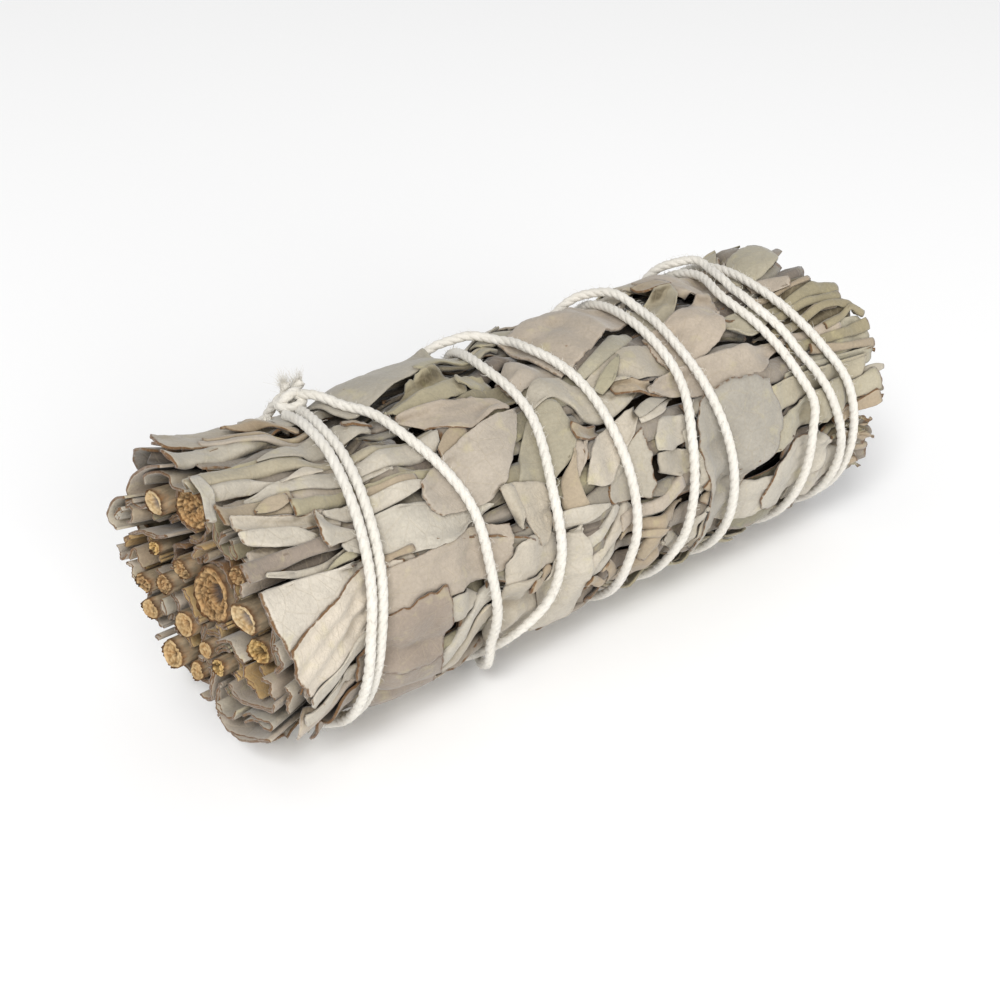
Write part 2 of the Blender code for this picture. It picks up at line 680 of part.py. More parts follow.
def build_sprigs(material):
    """Each sprig is one body: core, curled edges and leaves, clear of the stems and other sprigs."""
    cores, under = sprig_pieces()
    over, rooms = crossing_leaves()
    stem_rooms = [stem_solid("room", stem, GAP) for stem in STEMS]
    for sprig, core in enumerate(cores):
        core.name = f"sage_sprig_{sprig + 1:02d}"
        add_boolean(core, under[sprig], "UNION")
        foreign = [room for owner, room in rooms if owner != sprig]
        add_boolean(core, foreign + stem_rooms, "DIFFERENCE")
        own = [piece for owner, piece in over if owner == sprig]
        if own:
            add_boolean(core, own, "UNION")
    apply_modifiers(cores)
    remove([piece for pieces in under for piece in pieces] + [piece for owner, piece in over])
    remove([room for owner, room in rooms] + stem_rooms)
    for core in cores:
        keep_main_body(core)
        core.data.materials.clear()
        core.data.materials.append(material)


def build_stems(material):
    for number, stem in enumerate(STEMS, start=1):
        item = stem_solid(f"sage_stem_{number:02d}", stem)
        item.data.materials.append(material)
        item.data.shade_smooth()
        item.data.set_sharp_from_angle(angle=math.radians(40))


def build_twine(material):
    """The whole winding with its knot and tails, as one piece of twine."""
    winding = tube("cotton_twine", twine_points(), TWINE_DIAMETER)
    knot = knot_pieces()
    add_boolean(winding, knot, "UNION")
    apply_modifiers([winding])
    remove(knot)
    keep_main_body(winding)
    winding.data.materials.clear()
    winding.data.materials.append(material)
    winding.data.shade_smooth()
    winding.data.set_sharp_from_angle(angle=math.radians(50))


def main():
    remove(list(bpy.data.objects))
    build_sprigs(new_material("sage_leaf", LEAF_COLOUR, 0.85))
    build_stems(new_material("sage_stem", STEM_COLOUR, 0.75))
    build_twine(new_material("cotton_twine", TWINE_COLOUR, 0.9))


main()
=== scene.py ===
"""The looks of a sage smudge stick: dry leaves, cut woody stems, cotton twine and a pale stage.

The bundle lies along X. A place on its outside is (along, angle): along in millimetres, angle in
degrees round the bundle, 0 at the front (-Y), 90 on top, 180 at the back and -90 underneath.
"""

import math
import random
from collections import namedtuple

import bmesh
import bpy
import numpy as np
from bpy.props import FloatProperty, FloatVectorProperty, IntProperty, PointerProperty
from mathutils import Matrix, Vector, noise


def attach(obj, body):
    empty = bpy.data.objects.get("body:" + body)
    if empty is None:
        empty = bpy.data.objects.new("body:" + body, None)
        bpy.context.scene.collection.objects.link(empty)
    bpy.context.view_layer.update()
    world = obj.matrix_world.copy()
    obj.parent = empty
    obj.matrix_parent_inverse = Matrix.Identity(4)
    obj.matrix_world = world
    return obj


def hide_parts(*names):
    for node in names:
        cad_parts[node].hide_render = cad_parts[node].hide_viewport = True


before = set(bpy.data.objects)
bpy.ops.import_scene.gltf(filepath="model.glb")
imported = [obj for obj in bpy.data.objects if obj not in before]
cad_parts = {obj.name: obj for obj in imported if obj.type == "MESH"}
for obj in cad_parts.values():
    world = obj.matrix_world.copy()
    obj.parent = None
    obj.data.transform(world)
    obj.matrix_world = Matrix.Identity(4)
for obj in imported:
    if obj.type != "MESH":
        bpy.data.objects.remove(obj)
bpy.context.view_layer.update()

bl_info = {
    "name": "Sage Smudge Stick",
    "version": (1, 0, 0),
    "blender": (4, 5, 0),
    "location": "3D View > Sidebar > Smudge Stick",
    "description": "Dresses a bundle of dried white sage with its leaves, stems, twine and stage",
    "category": "Object",
}

MM = 0.001

# The bundle's sizes, in millimetres, as in the solids
AXIS_HEIGHT = 20.0
LEAF_REACH = 18.2
FLAT_DEPTH = 0.45
FLARE_START = -41.0
BUTT_FLARE = 0.02
TAPER_START = 40.0
TIP_TAPER = 0.06
TWINE_DIAMETER = 1.5
TWINE_GAP = 0.3
TWINE_CLEARANCE = 0.2
TWINE_PRESSED = 0.15
TWINE_SPACING = 0.6
PLY_OFFSET = 0.21
PLY_SHARE = 0.94
SPRIG_EDGES = (-100, -62, -12, 38, 78, 115, 145, 175, 220, 260)
HEART = len(SPRIG_EDGES) - 1
REST_PADS = ((-32.0, -24.5), (-3.5, 2.0), (28.0, 33.0))
REST_ANGLE = -85.0

# The bundle unrolled flat, on which the leaves are laid one over another, and how they are pressed
UNROLLED_RADIUS = 18.5
GIRTH = math.tau * UNROLLED_RADIUS
HEAP_START = -56.0
HEAP_LENGTH = 114.0
HEAP_COLUMNS = 380
HEAP_ROWS = 388
CORE_RADIUS = 13.9
BULGE = 1.5
CREST_ANGLE = 120.0
CREST_WIDTH = 28.0
LEAF_SPACE = 0.07
LEAF_PILE = 0.3
LEAF_DRAPE = 0.22
TALLEST_CURL = 3.5
HALF_TALL = 2.2
FAR_FROM_TWINE = 12.0
FREE_RISE = 3.0
TWINE_CELLS = 20
HEAP_DEPTH = 4.0
# How strongly painted shade darkens a leaf that is covered or lies deep
PAINTED_SHADE_STRENGTH = 0.68
LOOSE_PRESS = 0.8
BOUND_PRESS = 0.35
SOFT_MEETING = 0.16

# Layers of seeded leaves, from under to over: those under the seen ones as width in millimetres and
# degrees from one to the next, and those on the hidden side as degrees alone
UNDER_LAYERS = ((3.4, 13), (5.2, 16), (7.0, 20))
HIDDEN_LAYERS = (19, 17, 23)

# How finely each kind of leaf is divided, in millimetres a step, and the painted shade on the under leaves
UNDER_DETAIL = 1.7
HIDDEN_DETAIL = 1.1
STALK_DETAIL = 0.7
SEEN_DETAIL = 0.55
UNDER_PAINTED_SHADE = 0.62

# Painted shade inside: the dark wedges and dark middle that fill the gaps, in millimetres, degrees and
# shares, and the folded leaves at the ends
CORE_BUTT = -41.0
CORE_HALF_LENGTH = 40.5
CORE_MARGIN = 0.6
CORE_THICKNESS = 0.42
HEART_RADIUS = 7.8
HEART_LENGTH = 81.0
HEART_SHIFT = 0.5
HEART_REACH = 8.5
FOLD_REACH = 15.6
FOLD_STEP = 0.3
FOLD_TRIES = 2600
FOLD_END = 48.6
CUT_LEAF_ROOT = -39.0
BUTT_FOLD_ROOT = -39.5
TIP_FOLD_ROOT = 39.0

# The cut stems: where each ends, its place across from the axis, and how its cut face looks
Stem = namedtuple("Stem", "along across up diameter hollow face")
STEMS = (
    Stem(-48.8, -2.0, 3.1, 7.2, 0.36, "fibrous"),
    Stem(-49.5, 3.8, 4.0, 2.6, 0.0, "split"),
    Stem(-49.8, 4.1, -4.2, 3.2, 0.3, "tan"),
    Stem(-49.6, -0.5, -5.5, 2.2, 0.0, "tan"),
    Stem(-49.9, -4.0, -6.0, 2.2, 0.0, "ochre"),
    Stem(-50.5, 6.9, 0.6, 2.6, 0.0, "split"),
    Stem(-48.3, -11.5, 0.1, 3.4, 0.4, "ochre"),
    Stem(-49.5, -10.8, 4.9, 4.0, 0.5, "pith"),
    Stem(-48.5, -8.3, 9.1, 2.4, 0.0, "split"),
    Stem(-47.9, 2.6, 12.6, 5.0, 0.2, "fibrous"),
    Stem(-50.0, 8.0, 11.7, 3.2, 0.5, "pith"),
    Stem(-49.3, 10.9, 3.4, 2.0, 0.0, "ochre"),
    Stem(-50.5, 12.9, -2.4, 2.6, 0.0, "split"),
    Stem(-50.5, 11.9, -5.9, 2.8, 0.2, "tan"),
    Stem(-50.5, 7.0, -10.2, 3.6, 0.25, "tan"),
    Stem(-49.0, 3.7, -11.6, 2.4, 0.0, "tan"),
)
STEM_DEPTH = 34.0
STEM_TAPER = 0.84
SHAFT_ROWS = 10
THICK_STEM = 3.5

# A leaf lies between two rails of (along, angle) points, from its root to its free end. The order
# is from under to over. Rim is how brown its edges are, and lift how far its free end stands out.
Leaf = namedtuple("Leaf", "near far section tone rim lift", defaults=(0.3, 0.0))
# A ribbon is a narrow leaf or green stem given by the line through its middle and its width.
Ribbon = namedtuple("Ribbon", "line width form section tone rim lift", defaults=(0.2, 0.0))

FRONT_LEAVES = (
    # Butt third, under
    Leaf(((-30, 60), (-38, 58), (-49, 58)), ((-30, 72), (-38, 72), (-48, 70)), "arch", "taupe"),
    Leaf(((-30, 40), (-40, 41), (-49, 40)), ((-30, 52), (-40, 50), (-49, 50)), "arch", "taupe"),
    Leaf(((-24, -8), (-36, -10), (-46, -12)), ((-24, 8), (-36, 6), (-47, 4)), "arch", "taupe"),
    Leaf(((-30, -30), (-38, -30), (-47, -30)), ((-30, -14), (-38, -16), (-47, -14)), "arch", "taupe"),
    Leaf(((-30, 80), (-27, 82)), ((-30.5, 90), (-26, 90)), "arch", "pale"),
    Ribbon(((-30, 25), (-40, 24), (-48, 25)), 4.0, "strip", "arch", "taupe", 0.8),
    # Butt third, seen
    Leaf(((-34, 101), (-40, 99), (-45, 98), (-50, 99.5)),
         ((-34, 110), (-40, 114), (-44, 118), (-47.8, 119)), "flat", "pale", 1.0, 0.7),
    Ribbon(((-37.5, 97.5), (-42.5, 94.5), (-47, 93), (-50.6, 92)), 2.8, "strip", "roll", "pale", 1.0, 0.5),
    Ribbon(((-30.5, 91), (-37, 93), (-41, 97), (-45, 101)), 1.5, "strip", "roll", "taupe", 0.4),
    Ribbon(((-31, 94), (-36, 97), (-40, 101), (-44, 103)), 1.6, "strip", "roll", "tan", 0.4),
    Leaf(((-33, 95), (-36, 102), (-40, 104)),
         ((-33, 103), (-37, 110), (-41, 108)), "fold", "tan", 0.6, 0.6),
    Ribbon(((-36, 80), (-43, 81), (-50, 80)), 2.2, "strip", "arch", "green", 0.6),
    Leaf(((-26, 79), (-31, 78.5), (-37, 79.5), (-41.5, 81.3)),
         ((-26, 89), (-31, 90.5), (-37, 86), (-41.5, 82)), "arch", "pale", 0.6),
    Leaf(((-41, 68.5), (-45, 70), (-49.8, 70.5)),
         ((-41, 69.5), (-45, 78), (-49.5, 77.5)), "fold", "light", 0.7),
    Leaf(((-46, 66.5), (-37, 64), (-31, 60.5), (-27, 60)),
         ((-46, 68), (-38, 70.5), (-31, 67), (-27, 60.6)), "arch", "light", 0.1),
    Leaf(((-41, 68.5), (-37, 69), (-35, 69)),
         ((-40, 69.5), (-37, 73), (-35, 71)), "arch", "light", 0.1, 0.3),
    Ribbon(((-51.2, 78), (-48.5, 78.7), (-43.5, 78.7), (-39, 76), (-33.3, 74), (-30.5, 72.4), (-24, 70),
            (-19.5, 67)), 2.0, "strip", "roll", "greenish", 0.3),
    Leaf(((-49.6, 78.5), (-49.4, 71), (-51, 62)),
         ((-51.2, 78), (-51.3, 70), (-52.4, 62.5)), "arch", "light", 0.6),
    Ribbon(((-41, 61), (-45, 62.5), (-50, 63.5)), 2.6, "strip", "arch", "tan", 0.9),
    Leaf(((-46, 60.5), (-43.5, 59.5), (-41.6, 60.5)),
         ((-46, 62), (-44, 64.8), (-41.5, 64)), "arch", "tan", 1.0),
    Ribbon(((-36, 50.5), (-42, 54), (-49.5, 59)), 1.7, "strip", "cup", "light", 0.5),
    Ribbon(((-20.5, 53.5), (-27, 55), (-33, 57.5), (-41.3, 58.5)), 2.0, "strip", "roll", "green", 0.7),
    Ribbon(((-25, 52.5), (-29, 54.5), (-34, 55)), 1.5, "strip", "arch", "tan", 0.8),
    Leaf(((-38, 52), (-34, 47), (-28, 47), (-23.3, 50)),
         ((-38, 54), (-34, 53.5), (-28, 53), (-23.5, 50.8)), "arch", "light", 0.3),
    Leaf(((-39.6, 46), (-41.5, 45), (-45, 47), (-49.3, 51)),
         ((-39.8, 47), (-42, 52), (-45, 54.5), (-49.6, 55.5)), "arch", "light", 0.5),
    Ribbon(((-35, 43), (-43, 43.2), (-51, 43)), 2.3, "strip", "roll", "pink", 0.6),
    Leaf(((-36.5, 33.5), (-40, 33), (-44, 35), (-48.8, 39.4)),
         ((-36, 40), (-40, 37), (-44, 38), (-48.6, 41)), "arch", "light", 0.2),
    Ribbon(((-33, 35), (-37, 36), (-41, 33.5)), 1.2, "lance", "arch", "green", 0.2),
    Leaf(((-34, 31), (-41, 21), (-47.6, 10)),
         ((-35, 31.5), (-43, 34.8), (-49.8, 36.5)), "arch", "bright", 0.9),
    Leaf(((-34.5, 9.5), (-37, 5), (-41, -1), (-45.8, -7.5)),
         ((-31, 27.5), (-36, 29.5), (-42, 22.5), (-48.6, 15)), "flute", "bright", 0.9),
    Leaf(((-16.5, 6), (-20, 5), (-26, 7), (-35, 8)),
         ((-15.6, 24), (-20, 27.5), (-26, 27), (-34, 26)), "flat", "taupe", 0.5),
    Leaf(((-37, 37), (-33, 31), (-28, 27.5), (-23, 27), (-18.5, 30)),
         ((-37.5, 41), (-32, 46), (-26, 44.5), (-21, 40.5), (-16.3, 33)), "arch", "light", 0.1),
    Ribbon(((-33, 29), (-31.5, 29.8), (-29.5, 30)), 1.0, "strip", "roll", "tan", 1.0),
    Leaf(((-34.4, 41), (-37, 41), (-39.7, 41.2)),
         ((-37, 47), (-38.2, 50), (-39.2, 55)), "fold", "light", 0.7, 0.5),
    Ribbon(((-36.5, 1.5), (-41, -3), (-46, -10)), 2.6, "strip", "arch", "light", 0.5),
    Ribbon(((-38, -13), (-41.5, -11), (-44.5, -15), (-47, -17)), 2.2, "strip", "arch", "light", 0.3),
    Leaf(((-20, -4), (-24, -6), (-27, -3)), ((-20.2, -2.6), (-23, 5), (-27, 7)), "arch", "pale", 0.2),
    Ribbon(((-29, -36), (-25.5, -22), (-22, -12), (-17.5, -4)), 3.0, "strip", "roll", "light", 0.1),
    Ribbon(((-25, -38), (-22, -24), (-18, -13)), 3.2, "strip", "arch", "pale", 0.1),
    Leaf(((-43, -48), (-43, -32), (-41.5, -21)),
         ((-25, -48), (-26, -32), (-27, -17.5)), "flat", "pink", 1.0),
    Leaf(((-39.3, -15), (-38, -4), (-35, 7)), ((-27, -18), (-26, -4), (-26.3, 12.5)), "torn", "pink", 1.0),
    Leaf(((-20, 60.8), (-24, 60.6), (-31, 62)), ((-19, 68), (-25, 69.2), (-31, 68)), "roll", "light", 0.1),
    Leaf(((-24.8, 83), (-26, 82.5), (-28, 85)), ((-24.8, 88), (-26, 90), (-28.2, 89)), "cup", "tan", 1.0),
    Ribbon(((-24.5, 92), (-24.4, 95), (-25.2, 98)), 1.2, "strip", "roll", "tan", 1.0),
    Leaf(((-15.8, 60), (-18, 58), (-20, 57)), ((-15.8, 66), (-18, 65.5), (-20, 61)), "arch", "tan", 0.7),
    # Middle third
    Ribbon(((-19, 140), (-13, 133), (-7, 128)), 6.5, "oval", "arch", "pale", 0.2, 1.7),
    Leaf(((-26, 91), (-17, 97), (-11, 102), (-6, 107)),
         ((-26, 128), (-17, 134), (-10, 132), (-5, 126)), "arch", "pale", 0.2),
    Ribbon(((-13.5, 100.5), (-9.5, 103.5), (-5.5, 103)), 1.8, "strip", "roll", "green", 0.2),
    Leaf(((-20.5, 81), (-15, 80), (-10.8, 81)), ((-22, 88), (-16, 96), (-11, 98.5)), "fold", "green", 0.1),
    Leaf(((-11.2, 84), (-8.8, 80.5), (-6.6, 82)),
         ((-11, 88), (-8.5, 98), (-6.4, 92)), "arch", "green", 0.1),
    Leaf(((-5, 72), (-2, 73), (2.5, 72)), ((-5.5, 84), (-1.5, 92), (1.8, 95)), "arch", "taupe", 0.6),
    Leaf(((-13.5, 61.5), (-10.5, 63), (-7.8, 64.5)),
         ((-13, 64), (-10, 67.5), (-7.5, 68)), "cup", "green", 0.4),
    Leaf(((-7.6, 66), (-10, 66), (-15, 62.5), (-19, 70), (-21.6, 78.5)),
         ((-7.3, 69), (-9, 73.5), (-13, 77), (-17, 80), (-21.8, 81.5)), "veined", "taupe", 0.7),
    Leaf(((-0.6, 42), (-2, 34), (-3, 30)), ((0, 44), (-1.5, 46), (-2.8, 45)), "arch", "taupe", 0.3),
    Leaf(((-6.4, 31.5), (-3.1, 39), (-1.0, 49), (-1.5, 60)),
         ((-12, 38), (-9.4, 48), (-6.4, 58), (-4, 63)), "arch", "greenish", 0.1),
    Leaf(((-24, 36), (-17, 34.5), (-12.3, 44), (-8.6, 56), (-6.7, 64.4)),
         ((-25, 50), (-21, 56), (-16, 60.8), (-11, 63.6), (-6.7, 65.4)), "veined", "taupe", 0.5),
    Leaf(((3, 42), (0, 42), (-2, 44)), ((3, 46), (1, 46.5), (-1.5, 50)), "cup", "tan", 0.9),
    Leaf(((-5, 61.5), (-2, 62.6), (0.3, 58), (1.5, 50.5), (4.5, 46), (8.5, 49), (10.6, 52)),
         ((-5.3, 66), (-2.6, 72.5), (1.2, 73.3), (3.2, 67), (5.5, 61), (8.6, 56), (10.8, 52.8)),
         "arch", "pale", 0.1),
    Leaf(((-6.2, 18.5), (-6.2, 26), (-5, 33), (-3.1, 40)),
         ((-3.0, 18.5), (-3.5, 26), (-3.4, 33), (-2.8, 40.5)), "arch", "tan", 0.3),
    Leaf(((-16.5, -3), (-13, -3), (-8.5, -3)),
         ((-16.5, 10), (-14, 16.5), (-8.5, 12)), "arch", "light", 0.2),
    Leaf(((-17, -42), (-18, -20), (-17.3, -2)),
         ((-10, -42), (-9.5, -20), (-10.5, -5)), "arch", "pale", 0.2),
    Ribbon(((-9, -5.5), (-11, -7.2), (-13.2, -4.8)), 2.0, "strip", "roll", "tan", 1.0),
    Leaf(((-8.2, 33), (-7.8, 24), (-8.1, 16), (-9.8, 9.5)),
         ((-15.3, 38), (-13.4, 27), (-12, 18), (-10.9, 9.5)), "flat", "pale", 0.3),
    Leaf(((-13.6, 36.5), (-13.2, 28), (-13.6, 20.3)),
         ((-15.6, 37.5), (-14.9, 28), (-13.9, 20)), "fold", "pale", 0.5, 0.3),
    Leaf(((-8, 11.5), (-4, 12), (0, 14.6)), ((-8, 19), (-4, 19), (0, 15.8)), "arch", "light", 0.3),
    Ribbon(((-4.2, 2), (-0.5, 6.5), (1.5, 12)), 2.0, "strip", "roll", "light", 0.3),
    Ribbon(((-4, -16), (1, -9), (2.8, 2)), 2.3, "strip", "roll", "light", 0.2),
    Ribbon(((-4, -10), (0, -2), (4.4, 8.6)), 2.4, "strip", "roll", "light", 0.2),
    Leaf(((-3.6, -40), (-3.2, -14), (-3.7, 2), (-5.0, 12)),
         ((-10, -40), (-9.8, -12), (-7.2, 4), (-5.3, 12)), "arch", "light", 0.2),
    Leaf(((4, -40), (4.5, -24), (7, -14)), ((10, -40), (10.3, -24), (9.8, -15)), "arch", "tan", 0.3),
    Ribbon(((-3.2, -16), (0, -24), (3, -31)), 1.7, "strip", "roll", "tan", 0.9),
    Ribbon(((0, -15), (2, -20), (3.5, -30)), 2.0, "strip", "arch", "tan", 0.5),
    Ribbon(((6.6, -20), (8.2, -11), (10, -6)), 1.8, "lance", "roll", "tan", 0.8),
    Ribbon(((15.5, -32), (12.6, -20), (9.6, -14)), 2.2, "lance", "arch", "pale", 0.3),
    Ribbon(((3, -3.8), (9, -3.8), (14.5, -2)), 2.3, "lance", "roll", "tan", 0.3),
    Ribbon(((2.6, 3), (8, 4.5), (13.4, 9.8)), 2.4, "strip", "roll", "taupe", 0.3),
    Ribbon(((6, -8), (8.5, -7), (11, -9)), 1.5, "lance", "roll", "tan", 1.0),
    Leaf(((9.5, 18), (13, 13), (17.4, 10.5)), ((9.7, 26.5), (13, 25), (17, 20)), "arch", "pale", 0.4),
    Leaf(((9.6, 27.5), (13, 24.5), (16.2, 26)), ((9.7, 33), (12, 39), (15.8, 37)), "arch", "light", 0.1),
    Leaf(((0.3, 15), (4, 11.3), (7.6, 9.6)), ((1.2, 22), (4.4, 31), (8.1, 38.6)), "torn", "pale", 0.9),
    Leaf(((-2.7, 26), (1.0, 22.3), (4, 29), (8.6, 42)),
         ((-2.6, 27.2), (0, 38.5), (4.4, 44), (9.2, 47.5)), "flat", "light", 0.2),
    Ribbon(((8.6, 41), (13, 42.5), (17, 46)), 1.3, "lance", "arch", "light", 0.2),
    Ribbon(((8.4, 43.5), (12, 46), (17, 47.5)), 1.6, "lance", "arch", "pale", 0.2),
    Ribbon(((7.4, 57.5), (10.5, 54), (13, 51), (17.5, 50.5)), 2.1, "strip", "cup", "tan", 1.0),
    Leaf(((5.5, 61), (9, 58), (13, 56), (18, 55.5)),
         ((4.5, 65), (9, 70.5), (13, 73), (18, 73.5)), "arch", "pale", 0.2),
    Ribbon(((5.5, 58.5), (8, 63), (11, 68.5)), 1.9, "lance", "arch", "green", 0.1),
    Leaf(((4, 66), (9, 69), (14, 74), (17.3, 80)),
         ((4.4, 71), (9, 76), (14, 84), (16.8, 88.5)), "roll", "greenish", 0.1),
    Leaf(((20, 90), (14, 84), (8, 77), (2.6, 72)),
         ((20, 114), (14, 118), (8, 114), (1, 108)), "flat", "taupe", 0.4),
    Ribbon(((16, 30), (16.6, 20), (17.4, 10), (16.6, 0)), 2.0, "strip", "arch", "pale", 0.3),
    Ribbon(((17.3, 5), (18.3, 1), (17.6, -5)), 1.6, "strip", "roll", "tan", 1.0),
    Ribbon(((15.6, -30), (16.5, -18), (18.4, -8)), 1.6, "lance", "arch", "light", 0.2),
    Ribbon(((17.8, -32), (18.2, -20), (19.2, -9)), 1.5, "lance", "arch", "pale", 0.2),
    # Tip third
    Leaf(((29, 88), (33, 85), (38, 84)), ((27, 112), (33, 114), (39, 108)), "arch", "taupe", 0.4),
    Leaf(((29, 96), (27, 97), (25, 99)), ((29, 104), (26.5, 105), (24.5, 106)), "cup", "tan", 1.0),
    Leaf(((19.5, 77), (24, 79.5), (27.3, 87)),
         ((20, 95), (25, 96.8), (28.5, 95.5)), "arch", "greenish", 0.2),
    # Two dark leaves paint the shade behind the tip strands
    Leaf(((38, 62), (44, 62), (49.5, 62.5)), ((38, 77), (44, 76), (47.8, 74)), "arch", "painted_shade", 0.5),
    Leaf(((38, 48), (45, 48.5), (51.4, 48.5)), ((38, 62), (45, 63), (50.8, 62)), "arch", "painted_shade", 0.5),
    Ribbon(((38, 74), (44, 71.8), (48.5, 72)), 0.9, "strip", "roll", "tan", 0.9),
    Ribbon(((34, 66), (42, 65), (48, 66.5), (51.8, 63.5)), 2.3, "strip", "roll", "khaki", 0.8),
    Ribbon(((38, 61), (44.5, 62), (51, 59.5)), 1.5, "strip", "roll", "khaki", 0.9),
    Ribbon(((38, 56), (42, 56.5), (46, 57.8), (49.5, 56)), 1.1, "strip", "roll", "tan", 0.7),
    Leaf(((40, 37), (46, 34), (52.5, 36)), ((39, 49), (46, 50), (52.5, 48)), "arch", "greenish", 0.4),
    Ribbon(((38, 51.5), (44, 48.5), (48, 47.8)), 2.3, "strip", "arch", "taupe", 0.3),
    Ribbon(((37, 54), (42, 55), (47, 57.2), (51, 54.5), (53.2, 49.5)), 1.5, "strip", "roll", "khaki", 0.5),
    Ribbon(((46, 48.8), (49.5, 50), (51.5, 52), (53.4, 47.5)), 1.2, "strip", "roll", "khaki", 0.6),
    Ribbon(((38, 45.5), (45, 43.6), (49.5, 42.5), (53, 42.5)), 1.9, "strip", "roll", "khaki", 0.8),
    Ribbon(((42, 42), (46.5, 37.8), (50, 35.8), (52.8, 34)), 1.5, "strip", "beads", "tan", 1.0),
    Ribbon(((49, 22), (52, 22.4), (53.8, 22)), 1.5, "oval", "arch", "pale", 0.8),
    Leaf(((36, 24), (42, 22), (51, 26)), ((36, 36), (42, 36), (51.5, 33)), "arch", "greenish", 0.5),
    Leaf(((29, 22), (36, 21.5), (42, 20), (49, 20)),
         ((29, 33), (37, 33.8), (43, 32.5), (50, 31)), "arch", "greenish", 0.4),
    Ribbon(((42, 14), (47, 15.5), (52, 18.5)), 3.4, "strip", "crinkled", "greenish", 0.8),
    Ribbon(((44, 6), (48, 8), (51.6, 11)), 2.2, "strip", "cup", "tan", 1.0),
    Leaf(((30, 5.5), (35, 6), (40, 7), (45, 10)),
         ((29.5, 18), (35, 21), (40, 23), (46, 25)), "crinkled", "greenish", 0.5),
    Ribbon(((45, -5), (49, -7), (52, -11)), 1.6, "lance", "roll", "tan", 0.7),
    Ribbon(((45, -14), (48, -15), (51, -16)), 1.5, "strip", "roll", "tan", 0.9),
    Leaf(((37, -34), (41, -32), (46, -26)), ((38, -17), (42, -9), (46, -12)), "arch", "light", 0.3),
    Leaf(((21, -24), (26, -26), (31, -22)), ((22, -6), (26, -3.5), (31, -6)), "arch", "light", 0.1),
    Leaf(((37, 60), (34, 57.5), (30.5, 62)), ((37.5, 70), (34, 70.5), (30, 73)), "cup", "greenish", 0.2),
    Leaf(((18, 55), (22, 55.5), (26, 58), (29.5, 64), (31.7, 75)),
         ((18, 76), (22, 78.5), (27, 82.5), (30, 85), (33.4, 87.4)), "veined", "taupe", 0.5),
    Leaf(((12, 50), (16, 45), (22, 40.5), (27, 39.5), (32, 42), (37.3, 48.5)),
         ((12, 51), (16, 55), (22, 56), (28, 54.5), (33, 54.5), (37.3, 50)), "veined", "taupe", 0.4),
    Leaf(((20.5, -34), (20.5, -22), (23.5, -6), (29, 5), (31.6, 20), (31, 36.8)),
         ((17.5, -34), (17.8, -22), (18.3, -8), (17.4, 8), (17.2, 22), (19, 38)), "ribbed", "grey", 0.6),
    Leaf(((40, 86), (44, 85), (47.6, 88)),
         ((39, 101), (44, 107), (48.2, 108)), "arch", "greenish", 0.3, 0.45),
    Leaf(((40, 80), (42, 74), (43.6, 70.5)),
         ((40.5, 87), (43.5, 81), (44.6, 75)), "arch", "taupe", 0.5, 0.8),
    Leaf(((37.5, -21), (41.5, -12), (43.2, -5), (42.6, -1)),
         ((29, -21), (28.4, -13), (30.4, -3), (35, 3)), "ribbed", "light", 0.8),
)

# Places on the front where the photo looks deep into the heap: under leaves leave them open
DEEP_PLACES = (
    (-43, 33), (-27, -6), (-22, -5), (-20, 63), (-9, 78), (-17, 66), (-5, 87), (-4, 25), (9.5, -14),
    (16, -8), (18.5, 4), (1, 43), (-9, 46), (10, 12), (33, 18), (32, 2), (27, -3), (35, 38),
    (-3, -22), (14, 53), (33, 57), (43, 59.5), (46, 53.5), (44, 39), (48, 39.5), (50, 31),
    (46, 69), (41, 47.5), (52, 8),
)

# The twine's route over the outside: ten turns, down the front and up the back
TWINE_ROUTE = (
    (-31.4, 112), (-32.6, 90), (-33.4, 70), (-36, 28), (-37.9, 0), (-38.8, -38), (-39.4, -90),
    (-38, -140), (-34, -190), (-28.5, -245), (-24.5, -270), (-23, -290), (-20, -322), (-19.5, -350),
    (-18.5, -370), (-17, -404), (-13.5, -428), (-11.5, -450), (-10, -500), (-8.5, -560), (-7, -590),
    (1, -610), (2, -630), (3.5, -655), (4, -680), (4.5, -720), (4, -740), (4.8, -775), (5.5, -830),
    (7, -880), (12, -930), (14, -950), (19.5, -968), (21, -990), (20.5, -1015), (21, -1040),
    (22, -1070), (23, -1110), (23.5, -1160), (25, -1220), (30, -1270), (35, -1315), (38, -1333),
    (36.2, -1352), (35.4, -1372), (38, -1394), (42, -1421), (44.8, -1455), (45, -1500), (44.4, -1560),
    (42, -1620), (40.5, -1675), (39.7, -1715), (41, -1739), (43.2, -1759), (46, -1780), (47, -1815),
    (47.2, -1860), (46.8, -1900), (44.5, -1935), (40.5, -1975), (38.5, -2010), (37, -2035),
    (36, -2059), (33.6, -2080), (34.6, -2100), (36.8, -2125), (38.4, -2140), (37.5, -2155),
    (37, -2182), (36.5, -2220), (34.5, -2270), (29.5, -2320), (24, -2360), (20.5, -2395),
    (18.6, -2423), (18, -2440), (17.5, -2470), (15.5, -2495), (14.5, -2520), (14, -2538), (13, -2557),
    (12.6, -2610), (11, -2650), (6, -2690), (0.5, -2730), (-4, -2765), (-6, -2790), (-6, -2820),
    (-8, -2850), (-8.5, -2880), (-10, -2900), (-14, -2920), (-17.5, -2940), (-20, -2970),
    (-21.5, -3010), (-23, -3060), (-25.3, -3100), (-29, -3125), (-30.9, -3150), (-31.7, -3170),
    (-34.3, -3212), (-36.2, -3240), (-37.1, -3276), (-37.1, -3330), (-37.2, -3390), (-36, -3440),
    (-32.3, -3478),
)
KNOT_PLACE = (-29.4, 117.0)
KNOT_LOOP = 1.35

# Where one turn crosses another it rises in a hump: all in millimetres along the twine
CROSSING_SKIP = 12
HUMP_REACH = 6.0
HUMP_TOP = 1.6
HUMP_FALL = 4.4

# The frayed tuft on the knot, and how thick a loose fibre is and how far out it starts
TUFT_COUNT = 520
FIBRE_THICKNESS = 0.05
FIBRE_START = 0.66

